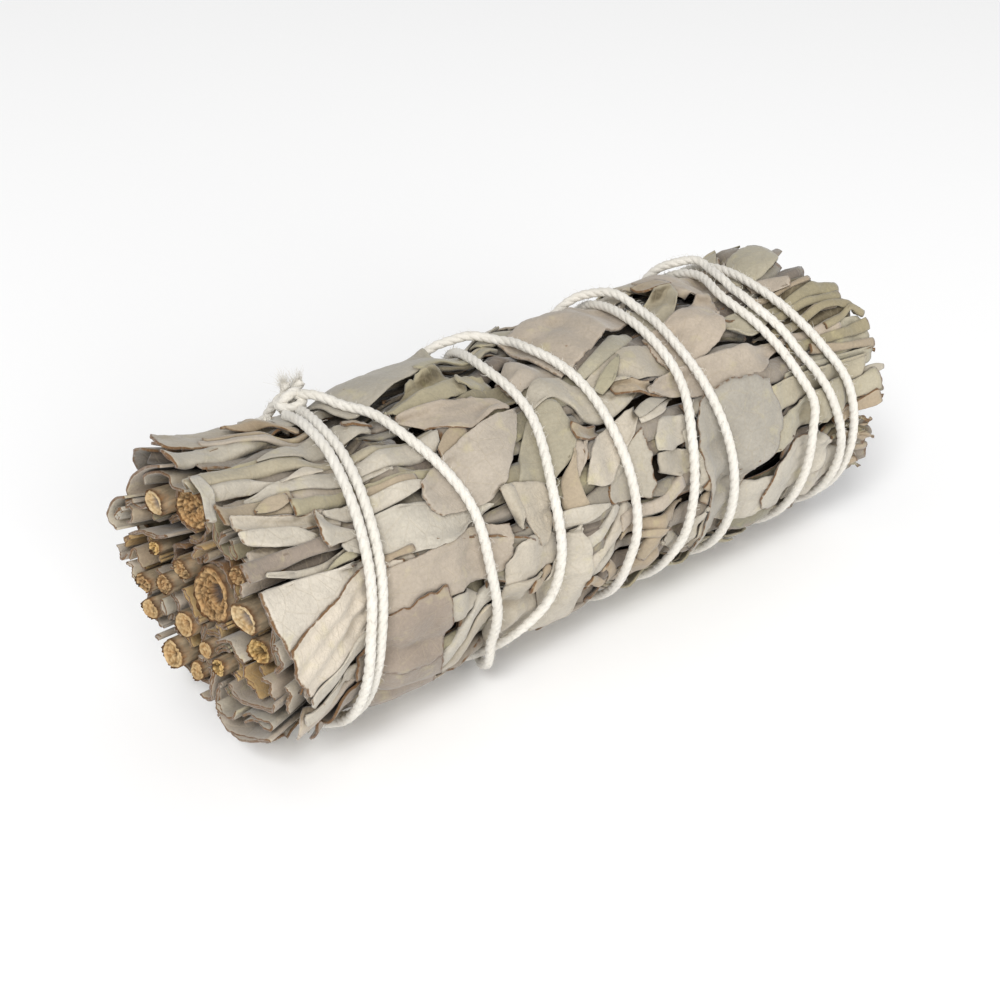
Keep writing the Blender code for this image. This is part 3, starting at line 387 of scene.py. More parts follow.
# Each tone is a mean colour, as linear red, green and blue
TONES = {
    "bright": (0.60, 0.54, 0.45),
    "light": (0.48, 0.435, 0.36),
    "pale": (0.425, 0.38, 0.305),
    "greenish": (0.385, 0.345, 0.255),
    "green": (0.37, 0.33, 0.225),
    "taupe": (0.42, 0.36, 0.29),
    "grey": (0.365, 0.33, 0.275),
    "pink": (0.285, 0.235, 0.19),
    "tan": (0.355, 0.285, 0.20),
    "straw": (0.40, 0.27, 0.12),
    "rust": (0.17, 0.09, 0.038),
    # A dark tone that paints shade, for leaves and stalks in the gaps between the tip strands
    "painted_shade": (0.14, 0.115, 0.07),
    "khaki": (0.285, 0.245, 0.155),
    # Painted shade for the dark inside that fills the gaps between leaves
    "core": (0.085, 0.058, 0.034),
}

# How a leaf's cross-section turns down from its middle to its edge: turn, power, crease and waves
SECTIONS = {
    "flat": (0.6, 3.0, 0.03, 0.16),
    "torn": (0.3, 3.0, 0.05, 0.20),
    "veined": (0.85, 2.6, 0.05, 0.18),
    "ribbed": (0.5, 2.6, 0.10, 0.15),
    "flute": (0.9, 2.2, 0.0, 0.45),
    "arch": (1.95, 1.8, 0.04, 0.14),
    "crinkled": (1.7, 1.6, 0.04, 0.35),
    "roll": (2.7, 1.1, 0.0, 0.10),
    "beads": (2.5, 1.0, 0.0, 0.10),
    "fold": (0.5, 1.0, 0.75, 0.12),
    "cup": (-1.0, 1.3, -0.25, 0.12),
}


def envelope(along, angle):
    """How far from the axis leaves reach, with arrays of places."""
    down = np.maximum(0.0, -np.sin(np.radians(angle)))
    taper = np.maximum(0.0, along - TAPER_START) * TIP_TAPER
    flare = BUTT_FLARE * np.maximum(0.0, FLARE_START - along) ** 2
    return LEAF_REACH - FLAT_DEPTH * down**6 - taper + flare


def on_bundle(along, angle, radius):
    """The points at places on the bundle, in millimetres, one row each."""
    turn = np.radians(angle)
    across = -radius * np.cos(turn)
    up = AXIS_HEIGHT + radius * np.sin(turn)
    return np.stack(np.broadcast_arrays(along, across, up), axis=-1)


def sprig_of(angle):
    """The outer sprig that an angle round the bundle falls in."""
    turned = (angle - SPRIG_EDGES[0]) % 360 + SPRIG_EDGES[0]
    return sum(edge <= turned for edge in SPRIG_EDGES) - 1


def smooth_line(points, count):
    """Points at even shares along a smooth curve through the given ones."""
    knots = np.array(points, float)
    knots = np.vstack([2 * knots[0] - knots[1], knots, 2 * knots[-1] - knots[-2]])
    share = np.linspace(0.0, len(knots) - 3 - 1e-9, count)
    first = share.astype(int)
    t = (share - first)[:, None]
    before, start, end, after = (knots[first + step] for step in range(4))
    bend = 2 * before - 5 * start + 4 * end - after + t * (3 * start - before - 3 * end + after)
    return start + 0.5 * t * (end - before + t * bend)


def blurred(field, passes):
    """The field with each value averaged with its neighbours, its edges kept."""
    for _ in range(passes):
        for axis in (0, 1):
            wide = np.concatenate([field.take([0], axis), field, field.take([-1], axis)], axis)
            size = field.shape[axis]
            field = (wide.take(range(size), axis) + 2 * field + wide.take(range(2, size + 2), axis)) / 4
    return field


class Heap:
    """How high leaves lie so far over the unrolled bundle, in millimetres above the core."""

    def __init__(self):
        self.height = np.zeros((HEAP_COLUMNS, HEAP_ROWS))

    def cells(self, along, girth):
        column = np.clip((along - HEAP_START) / HEAP_LENGTH * HEAP_COLUMNS, 0, HEAP_COLUMNS - 1.001)
        row = (girth / GIRTH * HEAP_ROWS) % HEAP_ROWS
        return column, row

    def sample(self, field, along, girth):
        """The field's value at places, read between its cells."""
        column, row = self.cells(along, girth)
        left = column.astype(int)
        low = row.astype(int) % HEAP_ROWS
        high = (low + 1) % HEAP_ROWS
        right = np.minimum(left + 1, HEAP_COLUMNS - 1)
        a = column - left
        b = row - row.astype(int)
        near = field[left, low] * (1 - b) + field[left, high] * b
        far = field[right, low] * (1 - b) + field[right, high] * b
        return near * (1 - a) + far * a

    def highest_near(self, along, girth):
        """The greatest height at and close round places, so that no narrow edge is missed."""
        found = self.sample(self.height, along, girth)
        near = 0.3
        for step_x, step_s in ((near, 0.0), (-near, 0.0), (0.0, near), (0.0, -near)):
            found = np.maximum(found, self.sample(self.height, along + step_x, girth + step_s))
        return found

    def add(self, along, girth, height):
        """Raises the heap to a leaf's height wherever the leaf lies."""
        rows = np.linspace(0, along.shape[0] - 1, along.shape[0] * 3)
        columns = np.linspace(0, along.shape[1] - 1, along.shape[1] * 3)
        finer = [refined(field, rows, columns) for field in (along, girth, height)]
        column, row = self.cells(finer[0], finer[1])
        np.maximum.at(self.height, (column.astype(int), row.astype(int) % HEAP_ROWS), finer[2])

    def spread(self, field, reach):
        """The field blurred over a reach in millimetres, round the girth without a seam."""
        steps = int(round((reach * HEAP_ROWS / GIRTH) ** 2))
        for _ in range(max(1, steps // 4)):
            field = (np.roll(field, 2, 1) + 2 * field + np.roll(field, -2, 1)) / 4
            wide = np.concatenate([field[:1], field[:1], field, field[-1:], field[-1:]])
            field = (wide[:-4] + 2 * field + wide[4:]) / 4
        return field


def refined(field, rows, columns):
    """A grid of values read at finer rows and columns."""
    low = rows.astype(int)
    high = np.minimum(low + 1, field.shape[0] - 1)
    t = (rows - low)[:, None]
    field = field[low] * (1 - t) + field[high] * t
    low = columns.astype(int)
    high = np.minimum(low + 1, field.shape[1] - 1)
    t = (columns - low)[None, :]
    return field[:, low] * (1 - t) + field[:, high] * t


def section_line(name, turn_share, count):
    """Half a cross-section: how far out, how far down and how steep at each share of the half."""
    turn, power, crease, _ = SECTIONS[name]
    share = np.linspace(0.0, 1.0, count)
    slope = np.sign(turn) * abs(crease) + turn * turn_share * share**power
    step = 1.0 / (count - 1)
    middle = (slope[1:] + slope[:-1]) / 2
    out = np.concatenate([[0.0], np.cumsum(np.cos(middle) * step)])
    down = np.concatenate([[0.0], np.cumsum(np.sin(middle) * step)])
    return out, down, slope


def cross_section(name, columns, draw):
    """A whole cross-section from -1 to 1, scaled so that it spans its rails."""
    half = columns // 2 + 1
    sides = []
    for _ in range(2):
        out, down, slope = section_line(name, draw.uniform(0.75, 1.15), half)
        sides.append((out / out.max(), down / out.max(), slope))
    span = np.concatenate([-sides[0][0][:0:-1], sides[1][0]])
    drop = np.concatenate([sides[0][1][:0:-1], sides[1][1]])
    steep = np.concatenate([sides[0][2][:0:-1], sides[1][2]])
    return span, drop, steep


def ribbon_rails(ribbon, count=7):
    """The two rails of a ribbon: pointed at the free end as a lance, or blunt as a strip."""
    line = smooth_line(ribbon.line, count)
    flat = np.stack([line[:, 0], np.radians(line[:, 1]) * UNROLLED_RADIUS], axis=1)
    way = np.gradient(flat, axis=0)
    way /= np.linalg.norm(way, axis=1)[:, None]
    side = np.stack([-way[:, 1], way[:, 0]], axis=1)
    share = np.linspace(0.0, 1.0, count)
    if ribbon.form == "lance":
        broad = np.sin(np.pi * np.clip(0.22 + 0.78 * share, 0, 1)) ** 0.8
    elif ribbon.form == "oval":
        broad = 0.25 + 0.75 * np.sin(np.pi * np.clip(0.1 + 0.8 * share, 0, 1))
    else:
        broad = 0.85 + 0.15 * np.sin(2.4 * np.pi * share + 1.0)
    half = (0.5 * ribbon.width * broad)[:, None]
    rails = []
    for sign in (-1, 1):
        rail = flat + sign * side * half
        rails.append(np.stack([rail[:, 0], np.degrees(rail[:, 1] / UNROLLED_RADIUS)], axis=1))
    return rails


class Sheet:
    """One leaf's surface as a grid: its place on the unrolled bundle, and its own shape and colours."""

    def __init__(self, leaf, number, detail, shade):
        draw = random.Random(7919 * number + 13)
        self.shade = shade
        self.draw = draw
        self.leaf = leaf
        near, far = ribbon_rails(leaf) if isinstance(leaf, Ribbon) else (leaf.near, leaf.far)
        self.measure(near, far, detail)
        self.shape(near, far)
        self.root_angle = (near[0][1] + far[0][1]) / 2

    def measure(self, near, far, detail):
        """How many rows and columns the leaf needs, in steps that suit its size."""
        ends = [np.array(near, float), np.array(far, float)]
        for rail in ends:
            rail[:, 1] = np.radians(rail[:, 1]) * UNROLLED_RADIUS
        self.length = max(np.linalg.norm(np.diff(rail, axis=0), axis=1).sum() for rail in ends)
        self.width = np.linalg.norm(smooth_line(ends[0], 9) - smooth_line(ends[1], 9), axis=1).max()
        self.rows = int(np.clip(round(self.length / detail), 6, 44))
        self.columns = 2 * int(np.clip(round(self.width / detail / 1.2) + 2, 3, 13))

    def shape(self, near, far):
        """Lays the grid between the rails, curls it by its section, and makes its edges ragged."""
        near = smooth_line(near, self.rows + 1)
        far = smooth_line(far, self.rows + 1)
        near[:, 1] = np.radians(near[:, 1]) * UNROLLED_RADIUS
        far[:, 1] = np.radians(far[:, 1]) * UNROLLED_RADIUS
        middle = (near + far) / 2
        half = (far - near) / 2
        span, drop, self.steep = cross_section(self.leaf.section, self.columns, self.draw)
        u = np.linspace(0.0, 1.0, self.rows + 1)[:, None]
        t = np.linspace(-1.0, 1.0, self.columns + 1)[None, :]
        stretch = 1.0 + self.ragged_margin(u)
        place = middle[:, None] + half[:, None] * (span[None, :, None] * stretch[:, :, None])
        way = np.gradient(middle, axis=0)
        way /= np.linalg.norm(way, axis=1)[:, None] + 1e-9
        broad = np.linalg.norm(half, axis=1)
        place += self.ragged_ends(u, t, broad)[:, :, None] * way[:, None]
        reach = TALLEST_CURL * broad / (HALF_TALL + broad)
        tall = -drop[None, :] * reach[:, None]
        self.along = place[:, :, 0]
        self.girth = place[:, :, 1]
        self.height = tall + self.waves(u, t, broad)
        self.u = u
        self.t = t
        self.across = t * broad[:, None] + 0 * u
        self.reach = u * self.length + 0 * t
        self.face_outwards()

    def face_outwards(self):
        """Turns the grid over where its faces would look towards the axis."""
        rows = np.diff(self.along, axis=0)[:, :-1], np.diff(self.girth, axis=0)[:, :-1]
        columns = np.diff(self.along, axis=1)[:-1], np.diff(self.girth, axis=1)[:-1]
        if (columns[0] * rows[1] - columns[1] * rows[0]).sum() < 0:
            for name in ("along", "girth", "height", "t", "across"):
                setattr(self, name, getattr(self, name)[:, ::-1])
            self.steep = self.steep[::-1]

    def ragged_margin(self, u):
        """Small scallops along both edges, as a share of the half width, at the edge columns only."""
        draw = self.draw
        share = np.abs(np.linspace(-1.0, 1.0, self.columns + 1))[None, :] ** 4
        side = np.linspace(-1.0, 1.0, self.columns + 1)[None, :] > 0
        total = np.zeros((self.rows + 1, self.columns + 1))
        for amount, pitch in ((0.03, 3.1), (0.012, 1.1)):
            for flag in (True, False):
                phase = draw.uniform(0, math.tau)
                wave = np.sin(math.tau * u * self.length / pitch / draw.uniform(0.8, 1.2) + phase)
                total += amount * wave * share * (side == flag)
        return total * min(1.0, 3.0 / max(self.width, 1.0) + 0.3)

    def ragged_ends(self, u, t, broad):
        """Moves the free end and the root along the leaf: rounded, with small teeth where cut."""
        draw = self.draw
        rough = 0.2 if self.leaf.section == "torn" else 0.12
        if self.leaf.rim < 0.45:
            rough = 0.06
        shift = 0.0
        for end, weight in ((1.0, u**6), (-1.0, (1 - u) ** 6)):
            width = broad[-1] if end > 0 else broad[0]
            bow = (0.1 if self.leaf.section in ("flat", "torn") else 0.28) * width * (1 - t**2)
            teeth = 0.0
            for pitch, share in ((3.7, 1.0), (1.9, 0.6), (0.8, 0.5)):
                phase = draw.uniform(0, math.tau)
                if pitch > 2.5 * self.width / self.columns:
                    teeth = teeth + share * np.sin(math.tau * t * width / pitch + phase)
            shift = shift + end * weight * (bow + rough * teeth * min(1.0, width / 2))
        return shift

    def waves(self, u, t, broad):
        """Soft buckles over the leaf and stronger ones along its edges."""
        draw = self.draw
        wave = SECTIONS[self.leaf.section][3]
        total = np.zeros((self.rows + 1, self.columns + 1))
        across = t * broad[:, None]
        along = u * self.length
        for _ in range(5):
            pitch = draw.uniform(3.0, 9.0)
            lean = draw.uniform(-1.1, 1.1) + (math.pi / 2 if draw.random() < 0.5 else 0.0)
            phase = draw.uniform(0, math.tau)
            slanted = along * math.cos(lean) + across * math.sin(lean)
            total += 0.10 * np.sin(math.tau * slanted / pitch + phase)
        for side in (-1, 1):
            pitch = draw.uniform(4.0, 8.0)
            phase = draw.uniform(0, math.tau)
            edge = np.clip(side * t, 0, 1) ** 2
            total += wave * 1.6 * edge * np.sin(math.tau * along / pitch + phase)
        if self.leaf.section == "flute":
            total += 0.55 * np.sin(math.tau * t * 1.6 + 2.0 * u + 1.0) * (1 - 0.4 * u)
        if self.leaf.section == "ribbed":
            total += 0.22 * np.exp(-((across / 0.5) ** 2)) - 0.12 * np.sin(math.tau * u * 2.0)
        if self.leaf.section == "crinkled":
            total += 0.16 * np.sin(across * 3.1 + 1.3 * along) + 0.12 * np.sin(across * 4.3 - 2.1 * along)
        if self.leaf.section == "beads":
            total += 0.14 * np.sin(math.tau * along / 0.9)
        if self.leaf.section == "veined":
            total -= 0.14 * np.exp(-((across / 0.35) ** 2))
        total += draw.uniform(-0.2, 0.5) * np.clip((u - 0.6) / 0.4, 0, 1) ** 2
        return total

    def open_columns(self):
        """The first and last columns that aren't on an edge curled under."""
        open_side = np.abs(self.steep) < 1.35
        return int(np.argmax(open_side)), len(open_side) - 1 - int(np.argmax(open_side[::-1]))

    def settle(self, heap, firm):
        """Rests the leaf on what lies under it, and drapes it over anything that would poke through."""
        under = heap.highest_near(self.along, self.girth)
        first, last = self.open_columns()
        gap = (under - self.height)[:, first : last + 1]
        lift = np.quantile(gap, firm, axis=1)
        lift = blurred(np.repeat(lift[:, None], 3, 1), 4)[:, 1]
        height = self.height + lift[:, None]
        needed = np.maximum(0.0, under + LEAF_DRAPE - height)
        needed[:, :first] = needed[:, first : first + 1]
        needed[:, last + 1 :] = needed[:, last : last + 1]
        push = needed
        for _ in range(3):
            push = np.maximum(blurred(push, 2), needed)
        self.height = height + push
        heap.add(self.along, self.girth, self.height + LEAF_PILE)


def leaning_line(start, end, turn, lean, share=0.3, bend=0.0):
    """A leaf's middle line along the bundle, which leans aside towards its end."""
    return (start, turn), ((start + end) / 2, turn + lean * share + bend), (end, turn + lean)


def under_leaves():
    """Seeded leaves all round under the seen ones: narrow rolls first, then broader blades."""
    draw = random.Random(23)
    leaves = []
    for layer, (width, apart) in enumerate(UNDER_LAYERS):
        for angle in range(-180, 180, apart):
            start = (-45.4 if angle < -30 else -49.5) + draw.uniform(0, 7)
            while start < 44:
                turn = angle + draw.uniform(-5, 5)
                length = draw.uniform(16, 26)
                end = min(start + length, 50.5 + draw.uniform(-3, 1))
                lean = draw.uniform(-9, 9) * (1 + layer)
                broad = width * draw.uniform(0.75, 1.25)
                line = leaning_line(start, end, turn, lean)
                if draw.random() < 0.5:
                    line = line[::-1]
                section = draw.choice(("roll", "arch", "arch", "fold", "cup"))
                tone = draw.choice(("taupe", "taupe", "pink", "green", "pale"))
                form = draw.choice(("strip", "lance", "oval"))
                leaf = Ribbon(line, broad, form, section, tone, draw.choice((0.2, 0.6, 1.0)))
                if layer == 0 or not hides_deep_place(line, broad):
                    leaves.append(leaf)
                start += length * draw.uniform(0.6, 0.9)
    return leaves


def hides_deep_place(line, broad):
    """Whether a leaf would cover one of the deep places on the front."""
    points = smooth_line(line, 12)
    for along, angle in DEEP_PLACES:
        apart = np.hypot(points[:, 0] - along, np.radians(points[:, 1] - angle) * UNROLLED_RADIUS)
        if apart.min() < broad / 2 + 0.8:
            return True
    return False


def on_front(turn):
    """Whether an angle is on the side that the seen leaves were read for."""
    return -46 < (turn + 180) % 360 - 180 < 112


def hidden_leaves():
    """Seeded leaves for the side that the list of seen ones doesn't reach."""
    draw = random.Random(61)
    leaves = []
    for layer, apart in enumerate(HIDDEN_LAYERS):
        for angle in range(112 + 6 * layer, 316, apart):
            start = (-45.8 if 190 < angle < 330 else -47.5) + draw.uniform(0, 4)
            while start < 42:
                turn = angle + draw.uniform(-6, 6)
                length = draw.uniform(13, 25)
                end = min(start + length, (46.5 if angle < 150 else 50) + draw.uniform(-3, 0.8))
                lean = draw.uniform(-26, 26)
                broad = draw.choice((2.8, 5.0, 7.0, 8.5, 10.0)) * draw.uniform(0.85, 1.15)
                bend = draw.uniform(-5, 5)
                line = leaning_line(start, end, turn, lean, 0.5, bend)
                if draw.random() < 0.5:
                    line = line[::-1]
                section = draw.choice(("arch", "arch", "flat", "veined", "torn", "fold", "ribbed"))
                if broad < 4:
                    section = draw.choice(("roll", "arch", "roll"))
                tone = draw.choice(("light", "pale", "pale", "greenish", "taupe", "taupe", "pink", "green"))
                form = draw.choice(("oval", "lance", "oval", "strip"))
                if all(not on_front(place[1]) for place in line):
                    rim = 1.0 if start < -44 else draw.choice((0.1, 0.3, 0.6, 0.9))
                    leaves.append(Ribbon(line, broad, form, section, tone, rim))
                start += length * draw.uniform(0.55, 0.95)
    return leaves


def crest_leaves():
    """Seeded broad leaves along the upper back, where the bundle's outline is seen against the stage."""
    draw = random.Random(88)
    leaves = []
    for angle in (CREST_ANGLE - 2, CREST_ANGLE + 20):
        start = -45.0 + draw.uniform(0, 3)
        while start < 38:
            length = draw.uniform(13, 19)
            turn = angle + draw.uniform(-4, 4)
            lean = draw.uniform(-9, 9)
            end = min(start + length, 46.0)
            line = leaning_line(start, end, turn, lean)
            form = draw.choice(("oval", "oval", "lance"))
            tone = draw.choice(("pale", "light", "taupe", "greenish"))
            leaves.append(Ribbon(line, draw.uniform(7, 9.5), form, "arch", tone, 0.3))
            start += length * 0.55
    return leaves


def tip_stalks():
    """Seeded thin dry stalks among the leaf tips on the front."""
    draw = random.Random(41)
    stalks = []
    for _ in range(24):
        angle = draw.uniform(-30, 76)
        start = draw.uniform(40, 45)
        end = draw.uniform(49.0, 53.2) - 0.02 * max(0.0, angle - 40) ** 1.2
        middle = ((start + end) / 2, angle + draw.uniform(-4, 4))
        line = ((start, angle), middle, (end, angle + draw.uniform(-8, 8)))
        # Some stalks take the dark tone that paints shade between the tips
        tone = draw.choice(("khaki", "khaki", "green", "tan", "painted_shade"))
        form = draw.choice(("strip", "lance"))
        stalks.append(Ribbon(line, draw.uniform(0.7, 1.4), form, "roll", tone, 0.8, draw.uniform(0, 0.5)))
    return stalks


def twine_places(spacing):
    """Places on a smooth curve through the twine's route, about a spacing apart."""
    dense = smooth_line(TWINE_ROUTE, 12 * len(TWINE_ROUTE))
    arcs = np.radians(np.diff(dense[:, 1])) * LEAF_REACH
    travelled = np.concatenate([[0.0], np.cumsum(np.hypot(arcs, np.diff(dense[:, 0])))])
    even = np.linspace(0.0, travelled[-1], int(travelled[-1] / spacing))
    return np.stack([np.interp(even, travelled, values) for values in dense.T], axis=1)


def crest_share(angle):
    """How much an angle belongs to the upper back, where the bundle's outline is seen."""
    return np.exp(-((((angle - CREST_ANGLE + 180) % 360 - 180) / CREST_WIDTH) ** 2))


def twine_fields():
    """For each cell of the heap: how far the twine is, and how far leaves can rise beside it."""
    spacing = 0.8
    places = twine_places(spacing)
    seat = envelope(places[:, 0], places[:, 1]) + TWINE_GAP + TWINE_DIAMETER / 2
    lifts = twine_lifts(on_bundle(places[:, 0], places[:, 1], seat), spacing, TWINE_DIAMETER)
    distance = np.full((HEAP_COLUMNS, HEAP_ROWS), FAR_FROM_TWINE)
    rise = np.full((HEAP_COLUMNS, HEAP_ROWS), FREE_RISE)
    step_x = HEAP_LENGTH / HEAP_COLUMNS
    step_s = GIRTH / HEAP_ROWS
    for place, lift in zip(places, lifts):
        turn = math.radians(place[1]) * UNROLLED_RADIUS % GIRTH
        column = int((place[0] - HEAP_START) / step_x)
        row = int(turn / step_s)
        columns = np.arange(max(0, column - TWINE_CELLS), min(HEAP_COLUMNS, column + TWINE_CELLS))
        rows = np.arange(row - TWINE_CELLS, row + TWINE_CELLS)
        apart_x = HEAP_START + (columns + 0.5) * step_x - place[0]
        apart_s = (rows + 0.5) * step_s - turn
        apart = np.hypot(apart_x[:, None], apart_s[None, :])
        patch = np.ix_(columns, rows % HEAP_ROWS)
        rise[patch] = np.minimum(rise[patch], lift + 0.32 * np.maximum(0.0, apart - 0.7) ** 1.35)
        if lift < 0.35:
            distance[patch] = np.minimum(distance[patch], apart)
    return distance, rise


def ceiling_fields():
    """For each cell of the heap: how far leaves reach, and how softly they are pressed there."""
    distance, rise = twine_fields()
    along = HEAP_START + (np.arange(HEAP_COLUMNS)[:, None] + 0.5) * HEAP_LENGTH / HEAP_COLUMNS
    girth = (np.arange(HEAP_ROWS)[None, :] + 0.5) * GIRTH / HEAP_ROWS
    angle = np.degrees(girth / UNROLLED_RADIUS) + 0 * along
    base = envelope(along + 0 * girth, angle)
    crest = crest_share(angle)
    ceiling = base + BULGE * (1 - np.exp(-((distance / 3.2) ** 2))) + 0.5 * crest
    for start, end in REST_PADS:
        aside = np.maximum(0.0, np.maximum(start - along, along - end))
        turned = (angle - REST_ANGLE + 180) % 360 - 180
        round_pad = np.exp(-((aside / 2.0) ** 2) - (turned / 16.0) ** 2)
        ceiling = np.maximum(ceiling, base + (AXIS_HEIGHT + 0.6 - base) * round_pad)
    free = 1 - np.exp(-((distance / 3.0) ** 2))
    press = BOUND_PRESS + (LOOSE_PRESS - BOUND_PRESS) * free
    limit = base + TWINE_GAP - 0.05 + rise + 0.3 * crest
    over = np.clip((ceiling + 0.7 * press - limit) / SOFT_MEETING, -40, 40)
    return limit + SOFT_MEETING * (over - np.log1p(np.exp(over))), press


def radii_of(heap, sheet, fields):
    """How far from the axis each point of a leaf ends up once the bundle is pressed and bound.

    A deeper place always ends up nearer to the axis, so that leaves keep their order.
    """
    upper, top, press = (heap.sample(field, sheet.along, sheet.girth) for field in fields)
    depth = upper - sheet.height
    sunk = press * np.log1p(np.exp(np.clip(depth / press, -40, 40)))
    radius = top - HEAP_DEPTH * np.tanh(sunk / HEAP_DEPTH)
    raised = np.clip((sheet.u - 0.45) / 0.55, 0, 1) ** 2
    radius = radius + sheet.leaf.lift * raised
    return np.minimum(radius, floor_radius(sheet) - 0.35 * sunk), depth


def floor_radius(sheet):
    """How far from the axis each point of a leaf can lie before it goes into the floor."""
    down = -np.sin(sheet.girth / UNROLLED_RADIUS)
    return np.where(down > 0.3, (AXIS_HEIGHT - 0.08) / np.maximum(down, 0.3), 99.0)


def kept_above(skin, sheet, radius):
    """A leaf's radii, raised wherever it would sink into a leaf that lies under it."""
    first, last = sheet.open_columns()
    push = np.maximum(0.0, skin.highest_near(sheet.along, sheet.girth) + LEAF_SPACE - radius)
    push[:, :first] = push[:, first : first + 1]
    push[:, last + 1 :] = push[:, last : last + 1]
    radius = np.minimum(radius + np.maximum(blurred(push, 1), push), floor_radius(sheet))
    skin.add(sheet.along, sheet.girth, radius)
    return radius


def new_sprig():
    """An empty bmesh for one sprig, with the layers that its material reads."""
    shape = bmesh.new()
    shape.verts.layers.float_color.new("tint")
    shape.verts.layers.float_vector.new("place")
    shape.verts.layers.float.new("rim")
    return shape


def layers_of(shape):
    """A sprig's layers: the colour, the place on the leaf, and how brown the edge is."""
    layers = shape.verts.layers
    return layers.float_color["tint"], layers.float_vector["place"], layers.float["rim"]


def grid_into(shape, columns, rows):
    """Adds a flat grid to a bmesh and gives its verts in order, row by row."""
    made = bmesh.ops.create_grid(shape, x_segments=columns, y_segments=rows, size=1.0)
    return sorted(made["verts"], key=lambda vert: (round(vert.co.y, 4), round(vert.co.x, 4)))


def colour_of(name, draw, spread=0.06):
    """One leaf's own colour, a little off the mean of its tone."""
    tone = TONES[name]
    shade = 0.95 + draw.uniform(-spread, spread)
    warm = draw.uniform(-0.02, 0.02)
    return tone[0] * (shade + warm), tone[1] * shade, tone[2] * (shade - warm)


def shaded(colour, shade, less_green, less_blue):
    """A colour darkened with painted shade, and warmer as it loses green and blue."""
    red, green, blue = (value * shade for value in colour)
    return red, green * (1 - less_green), blue * (1 - less_blue), 1.0


def add_sheet(shape, sheet, heap, skin, fields):
    """Builds one leaf as a grid of faces in its sprig's bmesh, with painted shade where it is covered or
    deep.
    """
    radius, depth = radii_of(heap, sheet, fields)
    radius = kept_above(skin, sheet, radius)
    points = on_bundle(sheet.along, np.degrees(sheet.girth / UNROLLED_RADIUS), radius) * MM
    verts = grid_into(shape, sheet.columns, sheet.rows)
    tint, place, rim = layers_of(shape)
    base = colour_of(sheet.leaf.tone, sheet.draw)
    seed = sheet.draw.uniform(0, 900)
    edge = np.abs(sheet.t) ** 12
    ends = np.maximum(sheet.u**40, (1 - sheet.u) ** 40)
    brown = np.clip(np.maximum(edge, ends), 0, 1) * (0.55 + 0.45 * sheet.leaf.rim)
    covered = heap.sample(heap.height, sheet.along, sheet.girth) - sheet.height
    # Painted shade: darker and warmer where other leaves cover it or where it lies deep in the heap
    hidden = np.clip(np.maximum((covered - 0.6) / 1.5, (depth - 1.5) / 2.2), 0, 1)
    flat = zip(
        verts, points.reshape(-1, 3), hidden.ravel(), sheet.reach.ravel(), sheet.across.ravel(), brown.ravel()
    )
    for vert, point, dark, reach, across, edge_share in flat:
        vert.co = point
        shade = sheet.shade * (1.0 - PAINTED_SHADE_STRENGTH * dark)
        vert[tint] = shaded(base, shade, 0.08 * dark, 0.22 * dark)
        vert[place] = (reach, across + seed, seed)
        vert[rim] = edge_share


def add_core(shape, start, end):
    """Painted shade for the inside of an outer sprig: a dark closed wedge between two angles."""
    steps = max(2, round((end - start) / 8))
    verts = grid_into(shape, steps, 4)
    faces = dict.fromkeys(face for vert in verts for face in vert.link_faces)
    for vert in verts:
        side = (vert.co.x + 1.0) / 2
        along = CORE_BUTT + CORE_HALF_LENGTH * (vert.co.y + 1.0)
        turn = start + CORE_MARGIN + side * (end - start - 2 * CORE_MARGIN)
        vert.co = Vector(on_bundle(along, turn, CORE_RADIUS)) * MM
    made = bmesh.ops.extrude_face_region(shape, geom=list(faces), use_keep_orig=True)
    inner = [element for element in made["geom"] if isinstance(element, bmesh.types.BMVert)]
    for vert in inner:
        inwards = Vector((0.0, -vert.co.y, AXIS_HEIGHT * MM - vert.co.z))
        vert.co += inwards * CORE_THICKNESS
    paint_inside_shade(shape, verts + inner)


def paint_inside_shade(shape, verts):
    """Gives verts the dark colour of painted shade inside the bundle."""
    tint = shape.verts.layers.float_color["tint"]
    for vert in verts:
        vert[tint] = (*TONES["core"], 1.0)


def add_heart(shape):
    """Painted shade for the middle of the bundle: a dark closed cylinder."""
    radius = HEART_RADIUS * MM
    made = bmesh.ops.create_cone(
        shape, cap_ends=True, segments=32, radius1=radius, radius2=radius, depth=HEART_LENGTH * MM
    )
    for vert in made["verts"]:
        vert.co = Vector((vert.co.z - HEART_SHIFT * MM, vert.co.x, vert.co.y + AXIS_HEIGHT * MM))
    paint_inside_shade(shape, made["verts"])


